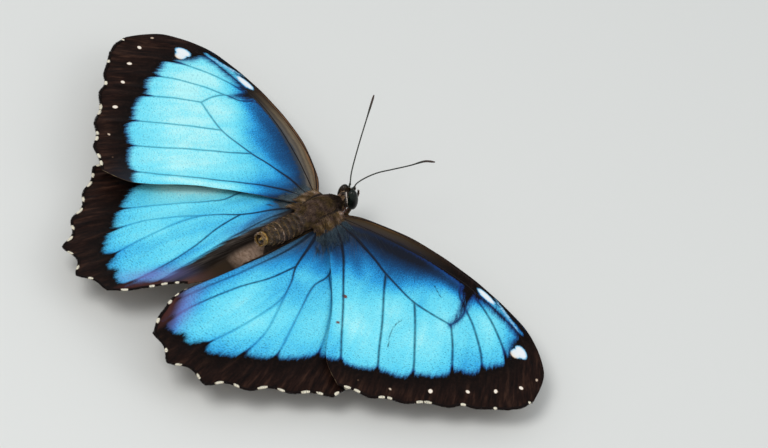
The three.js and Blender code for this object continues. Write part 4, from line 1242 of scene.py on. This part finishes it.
# --- Head -------------------------------------------------------------------------------
# Two huge glossy compound eyes set against the skin, each rimmed behind with a thin line of
# white scales; between them a brown tuft, two furry palps in front and the coiled tongue below.
HEAD_MIDDLE = np.array([0.25, 2.8, -0.75])
EYE_OUT, EYE_AHEAD, EYE_UP = 1.50, 0.1, 0.25
EYE_HALF = np.array([1.18, 1.42, 2.57])
EYE_LEAN = math.radians(8)
EYE_RINGS, EYE_ROUND = 48, 72


def tip_about_y(points, angle):
    """Points tipped sideways, about the line that runs along the body."""
    x, y, z = points.T
    c, s = math.cos(angle), math.sin(angle)
    return np.column_stack([x * c + z * s, y, z * c - x * s])


def on_head(points):
    """Points given about the middle of the head, tilted with it and set in place."""
    return tip_about_y(points, -HEAD_TILT) + HEAD_MIDDLE


def eye_point(side, turn, rise):
    """A point of an eye: turn round its upright axis from straight out, rise from its equator."""
    sign = SIDES[side]
    point = np.column_stack([sign * np.cos(turn) * np.cos(rise), np.sin(turn) * np.cos(rise), np.sin(rise)])
    point = tip_about_y(point * EYE_HALF, -sign * EYE_LEAN)
    return on_head(point + (sign * EYE_OUT, EYE_AHEAD, EYE_UP))


def eye_points(side):
    """Rings of points from the bottom of an eye to its top, then its two poles."""
    rise = np.linspace(-np.pi / 2, np.pi / 2, EYE_RINGS + 2)[1:-1]
    turn = np.arange(EYE_ROUND) * 2 * np.pi / EYE_ROUND
    return np.vstack([eye_point(side, np.tile(turn, EYE_RINGS), np.repeat(rise, EYE_ROUND)),
                      eye_point(side, np.zeros(2), np.array([-np.pi / 2, np.pi / 2]))])


glaze = Finish("eye_glaze", 0.20, 0.2)
# the eyes' brown and green casts are partly their own colour, partly painted reflections in their gloss
reflected_cast = glaze.scaled(glaze.field("brown"), 0.2, glaze.grain(glaze.place(), 420.0, 3.0, 0.6))
glaze.set("Base Color", glaze.ramp(reflected_cast, [
    (0.30, (4, 5, 5)), (0.48, (9, 14, 11)), (0.60, (14, 26, 19)), (0.72, (32, 22, 14)),
    (0.84, (54, 40, 28))]))
glaze.set("Coat Weight", 0.10)
glaze.set("Coat Roughness", 0.08)
glaze.bump(glaze.cells(glaze.place(), 16000.0), 0.25, 0.00003)

# a white rim runs down the head behind each eye: places on the skin, from the crown to the cheek
RIM = np.array([(2.05, 0.12), (1.83, 0.34), (1.65, 0.58), (1.53, 0.86), (1.47, 1.16), (1.48, 1.48),
                (1.71, 2.02), (2.05, 2.45)])
# how many scales it has, their width and tone
RIM_SCALES = {"right": (620, 0.095, 0.98), "left": (340, 0.075, 0.72)}


def on_rim(sign, shares):
    """Points of the skin along the rim on one side."""
    return skin_point(*(edge_curve(RIM, np.clip(shares, 0, 1)) * (1, sign)).T)


white_scales = coat_finish("white_scales")
rng = np.random.default_rng(21)
for side, sign in SIDES.items():
    points = eye_points(side)
    # the brown cast, partly a painted reflection, lies over the whole left eye and the top front of the
    # right one
    front = np.clip((points[:, 1] - on_head(np.zeros((1, 3)))[0, 1]) / 1.2 - 0.1, 0, 1) * (points[:, 2] > 0)
    faces = outward(points, closed_rings(EYE_RINGS, EYE_ROUND))
    add_piece(f"eye_{side}_lens", points, faces, [glaze], "eye", [f"eye_{side}"],
              fields={"brown": np.maximum(front, 0.85 * (side == "left"))})
    count, breadth, tone = RIM_SCALES[side]
    share = rng.uniform(0, 1, count)
    y, turn = edge_curve(RIM, share).T
    root, normal, _ = skin_frame(y + rng.normal(0, 0.022, count), sign * turn)
    along = on_rim(sign, share + 0.01) - on_rim(sign, share - 0.01)
    scales = locks(root + normal * 0.14, normal, along, 0.26, breadth, 0.12, rng)
    add_coat(f"eye_{side}_rim", white_scales, [(*scales, tone, skin_patch(y, sign * turn))])

# hair of the head, by place on the skin, and short tufts
HEAD_COAT = [
    # from y, to y, how many, length, lift, tone
    (0.2, 2.0, 2800, 0.46, 0.50, 0.20), (2.0, 3.4, 2600, 0.36, 0.50, 0.19),
    (3.4, 4.45, 1600, 0.60, 0.7, 0.28),
]
HEAD_TUFTS = [
    # y, turn, tone
    (1.15, 0.43, 0.60), (2.6, 0.76, 0.52), (4.0, 0.40, 0.80), (0.2, 1.5, 0.66), (2.6, 2.2, 0.40),
    (2.0, 2.0, 0.34), (3.1, 2.35, 0.44),
]
RIM_BARE, TUFT_LOCKS = 0.34, 60
rims = [on_rim(sign, np.linspace(0, 1, 30)) for sign in SIDES.values()]
parts = []
for y_from, y_to, count, reach, rise_by, tone in HEAD_COAT:
    y, turn = scatter(count, y_from, y_to, np.pi, rng)
    # the hair leaves the rims of the eyes bare
    kept = np.min([distance_to(line, skin_point(y, turn)) for line in rims], axis=0) > RIM_BARE
    y, turn = y[kept], turn[kept]
    point, normal, tailward = skin_frame(y, turn)
    fuzz = locks(point, normal, tailward + normal * 0.2, reach, 0.085, rise_by, rng)
    shade = tone + rng.normal(0, 0.05, len(y)) + 0.35 * (rng.random(len(y)) < 0.06)
    parts.append((*fuzz, shade, skin_patch(y, turn)))
for sign in SIDES.values():
    for y_middle, turn_middle, tone in HEAD_TUFTS:
        y = rng.normal(y_middle, 0.15, TUFT_LOCKS)
        turn = sign * rng.normal(turn_middle, 0.12, TUFT_LOCKS)
        point, normal, tailward = skin_frame(y, turn)
        tuft = locks(point, normal, tailward + normal * 0.4, 0.75, 0.08, 0.7, rng)
        parts.append((*tuft, rng.normal(tone, 0.05, TUFT_LOCKS), skin_patch(y, turn)))
add_coat("coat_head", hair, parts)


# --- Palps, feelers and tongue ------------------------------------------------------------
# The palps stand up before the face like two furry horns. The feelers are thin beaded rods
# with slim clubs, and the tongue is a watch-spring coil of two joined tubes.
def run_through(stops, count):
    """A smooth line through stops, evenly stepped along its length."""
    stops = np.asarray(stops, float)
    stops = np.vstack([2 * stops[0] - stops[1], stops, 2 * stops[-1] - stops[-2]])
    gaps = np.sqrt(np.linalg.norm(np.diff(stops, axis=0), axis=1))
    line = []
    for i in range(1, len(stops) - 2):
        before, start, end, after = stops[i - 1 : i + 3]
        g0, g1, g2 = gaps[i - 1 : i + 2]
        pull = ((start - before) / g0 - (end - before) / (g0 + g1) + (end - start) / g1) * g1
        push = ((end - start) / g1 - (after - start) / (g1 + g2) + (after - end) / g2) * g1
        line.append(bent(start, end, pull, push, np.linspace(0, 1, 60, endpoint=False)[:, None]))
    line = np.vstack([*line, stops[-2:-1]])
    reach = np.concatenate([[0], np.cumsum(np.linalg.norm(np.diff(line, axis=0), axis=1))])
    places = np.linspace(0, reach[-1], count)
    return np.column_stack([np.interp(places, reach, line[:, k]) for k in range(3)])


def round_limb(run, square_to, turn):
    """Ways straight out from a limb that lies along run, at turns round it."""
    aside = unit(np.cross(run, np.broadcast_to(square_to, run.shape)))
    return aside * np.cos(turn)[:, None] + np.cross(run, aside) * np.sin(turn)[:, None]


FEELERS = {
    "left": [(-0.7, 3.8, 2.05), (-2.45, 5.6, 3.2), (-5.7, 10.0, 6.4), (-8.8, 14.6, 9.8),
             (-11.6, 18.8, 13.0)],
    "right": [(0.6, 3.9, 2.2), (0.5, 4.4, 2.8), (0.9, 5.8, 3.9), (2.5, 8.1, 6.0), (4.8, 10.4, 7.9),
              (7.5, 13.0, 10.1), (9.6, 15.2, 12.0), (11.3, 16.5, 12.5)],
}
BEADS, BEAD_STEPS, FEELER_SIDES = 46, 7, 12
ROD_RADIUS, CLUB_SWELL, TIP_TAPER = 0.155, 0.095, 0.10
rod = Finish("feeler_rod", 0.45, 0.4)
bead, club = rod.fields("bead", "club")
rod_colour = rod.ramp(bead, [
    (0.0, (96, 84, 62)), (0.12, (40, 40, 30)), (0.3, (20, 24, 17)), (1.0, (24, 26, 18))])
rod.set("Base Color", rod.blend(club, rod_colour, colour(54, 32, 20)))
rod.bump(rod.grain(rod.place(), 14000.0, 2.0, 0.6), 0.35, 0.00003)
for side, stops in FEELERS.items():
    count = BEADS * BEAD_STEPS + 1
    socket = np.add(stops[0], (-math.copysign(0.2, stops[0][0]), -0.35, -0.5))
    line = run_through([socket, *stops], count)
    share = np.linspace(0, 1, count)
    within = np.mod(np.arange(count), BEAD_STEPS) / BEAD_STEPS
    radius = ROD_RADIUS + CLUB_SWELL * smooth_step(share, 0.72, 0.90)
    radius = radius - TIP_TAPER * smooth_step(share, 0.96, 1.0)
    radius = radius * (0.90 + 0.14 * np.sin(np.pi * within) ** 0.7)
    radius = radius + 0.20 * np.exp(-(share / 0.012) ** 2) + 0.10 * np.exp(-((share - 0.03) / 0.012) ** 2)
    thick_end = np.repeat(smooth_step(share, 0.80, 0.95), FEELER_SIDES)
    thin_ring = np.append(np.repeat(within, FEELER_SIDES), [within[0], within[-1]])
    add_piece(f"feeler_{side}", *tube(line, radius, FEELER_SIDES), [rod], "cuticle", [f"antenna_{side}"],
              fields={"bead": thin_ring, "club": np.append(thick_end, [0, 1])})

PALP_STOPS = [(0.62, 4.3, -2.7), (0.72, 5.2, -2.4), (0.74, 5.65, -1.6), (0.64, 5.85, -0.8),
              (0.56, 5.8, -0.1)]
PALP_STEPS, PALP_LOCKS = 40, 700
PALP_RADIUS, PALP_TAPER = 0.30, 0.17
for side, sign in SIDES.items():
    line = run_through(np.array(PALP_STOPS) * (sign, 1, 1), PALP_STEPS)
    radius = PALP_RADIUS - PALP_TAPER * np.linspace(0, 1, PALP_STEPS)
    add_piece(f"palp_{side}_core", *tube(line, radius, 14), [cuticle], "hair", [f"palp_{side}"])
    place = rng.integers(1, PALP_STEPS - 2, PALP_LOCKS)
    turn = rng.uniform(0, 2 * np.pi, PALP_LOCKS)
    run = unit(np.gradient(line, axis=0)[place])
    normal = round_limb(run, (1.0, 0.0, 0.0), turn)
    fuzz = locks(line[place] + normal * radius[place][:, None], normal, run, 0.42, 0.07, 0.5, rng)
    pale = 0.62 * (normal[:, 1] > 0.25) + 0.26 + rng.normal(0, 0.06, PALP_LOCKS)
    patches = np.column_stack([turn / 7 + 0.05, place / 50 + 0.05])
    add_coat(f"palp_{side}_fur", hair, [(*fuzz, pale, patches)])

COIL_MIDDLE = np.array([0.0, 3.7, -5.15])
COIL_TURNS, COIL_REACH, COIL_DRAWN_IN = 2.6, 1.36, 1.06
TONGUE_RADII, HALVES_APART = (0.17, 0.09), 0.075
share = np.linspace(0, 1, 420)
turn = 2 * np.pi * COIL_TURNS * share + np.pi / 2 - 0.25
reach = COIL_REACH - COIL_DRAWN_IN * share
coil = COIL_MIDDLE + np.column_stack([share * 0, reach * np.cos(turn), reach * np.sin(turn)])
stem = run_through([(0.15, 4.0, -2.9), (0.1, 4.3, -3.4), tuple(coil[0])], 40)[:-1]
tongue_line = np.vstack([stem, coil])
ribs = 1 + 0.07 * np.sin(np.arange(len(tongue_line)) * 2 * np.pi / 4)
radius = np.linspace(*TONGUE_RADII, len(tongue_line)) * ribs
halves = [tube(tongue_line + (off, 0, 0), radius, 12) for off in (-HALVES_APART, HALVES_APART)]
horn = mottled("tongue_horn", 0.35, 0.5, (1500.0, 3.0, 0.6),
               [(0.3, (58, 30, 16)), (0.55, (122, 66, 30)), (0.75, (160, 96, 48))],
               (9000.0, 2.0, 0.5), 0.4, 0.00004)
add_piece("tongue", *joined(halves), [horn], "tongue", ["proboscis"])


# --- Claspers -----------------------------------------------------------------------------
# The male's hind end: two curved horn plates that close like a cup, fringed with golden hair.
CUP_MIDDLE = np.array([0.0, -23.05, 0.85])
CUP_RADIUS, CUP_REACH, CUP_TIP = 1.5, 1.15, math.radians(-7)
PLATE_THICKNESS = 0.16
CUP_ROUND, CUP_STEPS = 96, 16
CUP_LOCKS = 900


def cup_point(turn, along, thickness):
    """A point of a clasper plate: turn round the cup, along it from the body to the lip."""
    bulge = 1 + 0.10 * np.sin(np.pi * along) - 0.10 * along**2
    notch = 0.16 * (np.exp(-(np.sin(turn / 2) / 0.10) ** 2) + np.exp(-(np.cos(turn / 2) / 0.10) ** 2))
    reach = CUP_REACH * along * (1 - notch * along)
    radius = (CUP_RADIUS + thickness) * bulge
    x, y, z = radius * np.sin(turn), -reach, radius * np.cos(turn) * 1.06
    c, s = math.cos(CUP_TIP), math.sin(CUP_TIP)
    return np.column_stack([x, y * c - z * s, y * s + z * c]) + CUP_MIDDLE


turn = np.arange(CUP_ROUND) * 2 * np.pi / CUP_ROUND
stations = [(a, 0.0) for a in np.linspace(0, 1, CUP_STEPS)]
stations += [(a, -PLATE_THICKNESS) for a in np.linspace(0.97, 0.40, CUP_STEPS)]
points = np.vstack([cup_point(turn, np.full(CUP_ROUND, a), t) for a, t in stations]
                   + [cup_point(np.zeros(1), np.full(1, a), -CUP_RADIUS) for a in (0.0, 0.34)])
faces = outward(points, closed_rings(len(stations), CUP_ROUND))
# a small hook stands in the middle of the cup
HOOK_STEPS = 24
HOOK = np.array([(0.45, -0.40, 1.05), (0.25, -0.80, 0.70), (-0.05, -0.95, 0.20), (-0.40, -0.80, -0.35)])
hook_line = edge_curve(CUP_MIDDLE + HOOK, np.linspace(0, 1, HOOK_STEPS))
hook = tube(hook_line, np.linspace(0.42, 0.20, HOOK_STEPS), 10)
hollow = [0.0 if t == 0.0 else min(1.0, (0.99 - a) * 12) for a, t in stations]
hollow = np.concatenate([np.repeat(hollow, CUP_ROUND), [1.0, 1.0], np.zeros(len(hook[0]))])
amber = mottled("clasper_horn", 0.35, 0.4, (1800.0, 4.0, 0.6),
                [(0.3, (104, 74, 26)), (0.5, (158, 120, 52)), (0.7, (214, 178, 108))],
                (7000.0, 3.0, 0.6), 0.5, 0.00005)
inside = amber.ramp(amber.patches, [(0.35, (26, 14, 4)), (0.5, (58, 38, 12)), (0.7, (104, 76, 28))])
amber.set("Base Color", amber.blend(amber.field("hollow"), amber.plain, inside))
add_piece("clasper_plates", *joined([(points, faces), hook]), [amber], "cuticle", ["claspers"],
          fields={"hollow": hollow})
turn, along = rng.uniform(-np.pi, np.pi, CUP_LOCKS), rng.uniform(0.0, 1.0, CUP_LOCKS)
root = cup_point(turn, along, 0.0)
normal = unit(root - cup_point(turn, along, -0.5))
golden = locks(root, normal, cup_point(turn, along + 0.05, 0.0) - root, 0.5, 0.08, 0.3, rng)
tone = np.clip(rng.normal(0.66, 0.12, CUP_LOCKS), 0, 1)
add_coat("clasper_hair", hair, [(*golden, tone, skin_patch(-23.0, turn))])


# --- Legs ---------------------------------------------------------------------------------
# Four walking legs of black-brown horn: thigh, spined shin and a five-jointed foot that ends
# in a pair of claws. The front pair is short and furry and is kept folded against the chest.
LEGS = {
    "fore": [(0.9, -0.9, -4.4), (1.3, 0.6, -5.0), (1.5, 2.3, -4.9), (1.1, 3.6, -4.7)],
    "mid": [(1.5, -4.6, -4.45), (3.2, -4.6, -5.3), (8.2, -2.4, -4.9), (11.2, 0.6, -10.9),
            (11.8, 1.3, -11.28), (15.0, 5.4, -11.33)],
    "hind": [(1.5, -8.4, -4.3), (3.1, -9.2, -5.5), (7.9, -13.2, -5.6), (11.0, -19.4, -10.9),
             (11.4, -20.3, -11.28), (13.6, -27.2, -11.33)],
}
THIGH, SHIN, FOOT = 0.40, 0.27, 0.17
LIMB_SIDES = 12
FOOT_JOINTS = [0, 44, 62, 76, 87, 100]
# rows of spines along the shin, and their turns round it
SPINE_ROWS, SPINE_TURNS = np.linspace(0.18, 0.97, 11), (-2.3, -0.8, 0.8)
# places along a claw: out, ahead and up from the end of the foot
CLAW = [(0.05, 0.0, 0.0), (0.17, 0.18, 0.06), (0.22, 0.36, -0.02), (0.20, 0.46, -0.12)]
FLOOR = -HINGE_HEIGHT * 1000


def taper(start, end, wide, narrow, swell, count=16):
    """A limb length, fullest near its middle and drawn in at the joints."""
    share = np.linspace(0, 1, count)
    line = np.asarray(start) + np.outer(share, np.subtract(end, start))
    drawn_in = 0.72 + 0.28 * np.sin(np.pi * np.clip(share * 0.96 + 0.03, 0, 1)) ** 0.35
    girth = (wide + (narrow - wide) * share) * drawn_in
    return tube(line, girth * (1 + swell * np.sin(np.pi * share)), LIMB_SIDES)


def spine(root, way, length, width):
    """A thorn that stands on root and points along way."""
    way = np.multiply(way, length)
    return tube([root, root + way * 0.5, root + way], [width, width * 0.7, width * 0.12], 5)


def leg_pieces(stops):
    """The lengths of one leg, from the hip to the claws, with their spines."""
    pieces = [taper(stops[0], stops[1], 0.52, 0.36, 0.15), taper(stops[1], stops[2], THIGH, 0.27, 0.10)]
    if len(stops) < 5:
        return pieces + [taper(stops[2], stops[3], 0.25, 0.14, 0.05)]
    pieces.append(taper(stops[2], stops[3], SHIN, 0.20, 0.08, 24))
    shin = (stops[3] - stops[2]) / np.linalg.norm(stops[3] - stops[2])
    side_way = np.cross(shin, (0, 0, 1))
    side_way /= np.linalg.norm(side_way)
    low_way = np.cross(side_way, shin)
    for share in SPINE_ROWS:
        for turn in SPINE_TURNS:
            way = side_way * math.cos(turn) + low_way * math.sin(turn)
            root = stops[2] + (stops[3] - stops[2]) * share + way * 0.16
            pieces.append(spine(root, way * 0.8 + shin * 0.75, 0.42, 0.038))
    ahead = (stops[5] - stops[3]) / np.linalg.norm(stops[5] - stops[3])
    line = run_through([stops[3], stops[4], stops[5] + (0, 0, 0.05)], FOOT_JOINTS[-1] + 1)
    line[:, 2] = np.maximum(line[:, 2], FLOOR + FOOT + 0.01)
    for first, last in zip(FOOT_JOINTS[:-1], FOOT_JOINTS[1:]):
        stretch = line[first:last + 1]
        share = np.linspace(0, 1, len(stretch))
        girth = FOOT * (0.84 + 0.22 * share - 0.25 * (share > 0.97)) * (1 - 0.0012 * first)
        pieces.append(tube(stretch, girth, LIMB_SIDES))
        for off in (-1, 1):
            way = np.cross(ahead, (0, 0, 1)) * off
            pieces.append(spine(stretch[-2] + way * 0.11, way * 0.6 + ahead, 0.24, 0.03))
    for off in (-1, 1):
        way = np.cross(ahead, (0, 0, 1)) * off
        claw = [line[-1] + way * out + ahead * reach + (0, 0, rise) for out, reach, rise in CLAW]
        pieces.append(tube(run_through(claw, 14), np.linspace(0.065, 0.012, 14), 7))
    return pieces


shell = mottled("leg_shell", 0.5, 0.2, (1100.0, 4.0, 0.6),
                [(0.3, (22, 15, 11)), (0.55, (44, 30, 21)), (0.75, (78, 56, 38))],
                (9000.0, 3.0, 0.6), 0.5, 0.00005)
# hair of each length of a leg: which length, its half width, how many locks, how long
LEG_HAIR = [(0, 0.40, 140, 0.40), (1, 0.30, 420, 0.34)]
FORELEG_HAIR = [(0, 0.42, 500, 0.55), (1, 0.36, 1100, 0.65), (2, 0.22, 900, 0.65)]
for pair, stops in LEGS.items():
    fore = pair == "fore"
    for side, sign in SIDES.items():
        places = np.array(stops) * (sign, 1, 1)
        add_piece(f"leg_{pair}_{side}", *joined(leg_pieces(places)), [shell], "cuticle",
                  [f"{pair}leg_{side}"])
        parts = []
        for start, girth, count, reach in FORELEG_HAIR if fore else LEG_HAIR:
            a, b = places[start:start + 2]
            run = unit(np.tile(b - a, (count, 1)))
            turn = rng.uniform(0, 2 * np.pi, count)
            normal = round_limb(run, (0.0, 0.0, 1.0), turn)
            share = rng.uniform(0.03, 0.95, count)
            root = a + np.outer(share, b - a) + normal * girth * (1 - 0.25 * share)[:, None]
            fuzz = locks(root, normal, run, reach, 0.07, 0.3, rng)
            parts.append((*fuzz, np.clip(rng.normal(0.42 if fore else 0.36, 0.10, count), 0, 1),
                          np.column_stack([turn / 7 + 0.05, share * 0.3 + 0.3 * start + 0.03])))
        add_coat(f"leg_{pair}_{side}_hair", hair, parts)


# --- Floor and light --------------------------------------------------------------------
# A plain pale table under soft studio light from a wide lamp above and a broad sky.
floor_mesh = bpy.data.meshes.new("floor")
floor_mesh.from_pydata([(-3, -3, 0), (3, -3, 0), (3, 3, 0), (-3, 3, 0)], [], [(0, 1, 2, 3)])
floor = bpy.data.objects.new("floor", floor_mesh)
bpy.context.scene.collection.objects.link(floor)
table = Finish("table", 0.7, 0.2)
table.set("Base Color", colour(226, 226, 222))
floor_mesh.materials.append(table.material)

sky = bpy.data.worlds.new("studio")
sky.use_nodes = True
sky.node_tree.nodes["Background"].inputs["Color"].default_value = (0.92, 0.96, 1.0, 1)
sky.node_tree.nodes["Background"].inputs["Strength"].default_value = 0.60
bpy.context.scene.world = sky
bpy.context.scene.view_settings.view_transform = "Standard"


def soft_lamp(name, place, power, width):
    """A square lamp that faces the insect."""
    lamp = bpy.data.lights.new(name, "AREA")
    lamp.energy = power
    lamp.size = width
    stand = bpy.data.objects.new(name, lamp)
    bpy.context.scene.collection.objects.link(stand)
    stand.location = place
    stand.rotation_mode = "QUATERNION"
    stand.rotation_quaternion = (HINGES - stand.location).to_track_quat("-Z", "Y")


soft_lamp("key", Vector((-0.05, -0.45, 0.82)), 3.6, 0.40)
soft_lamp("fill", Vector((0.6, 0.3, 0.6)), 0.8, 0.5)
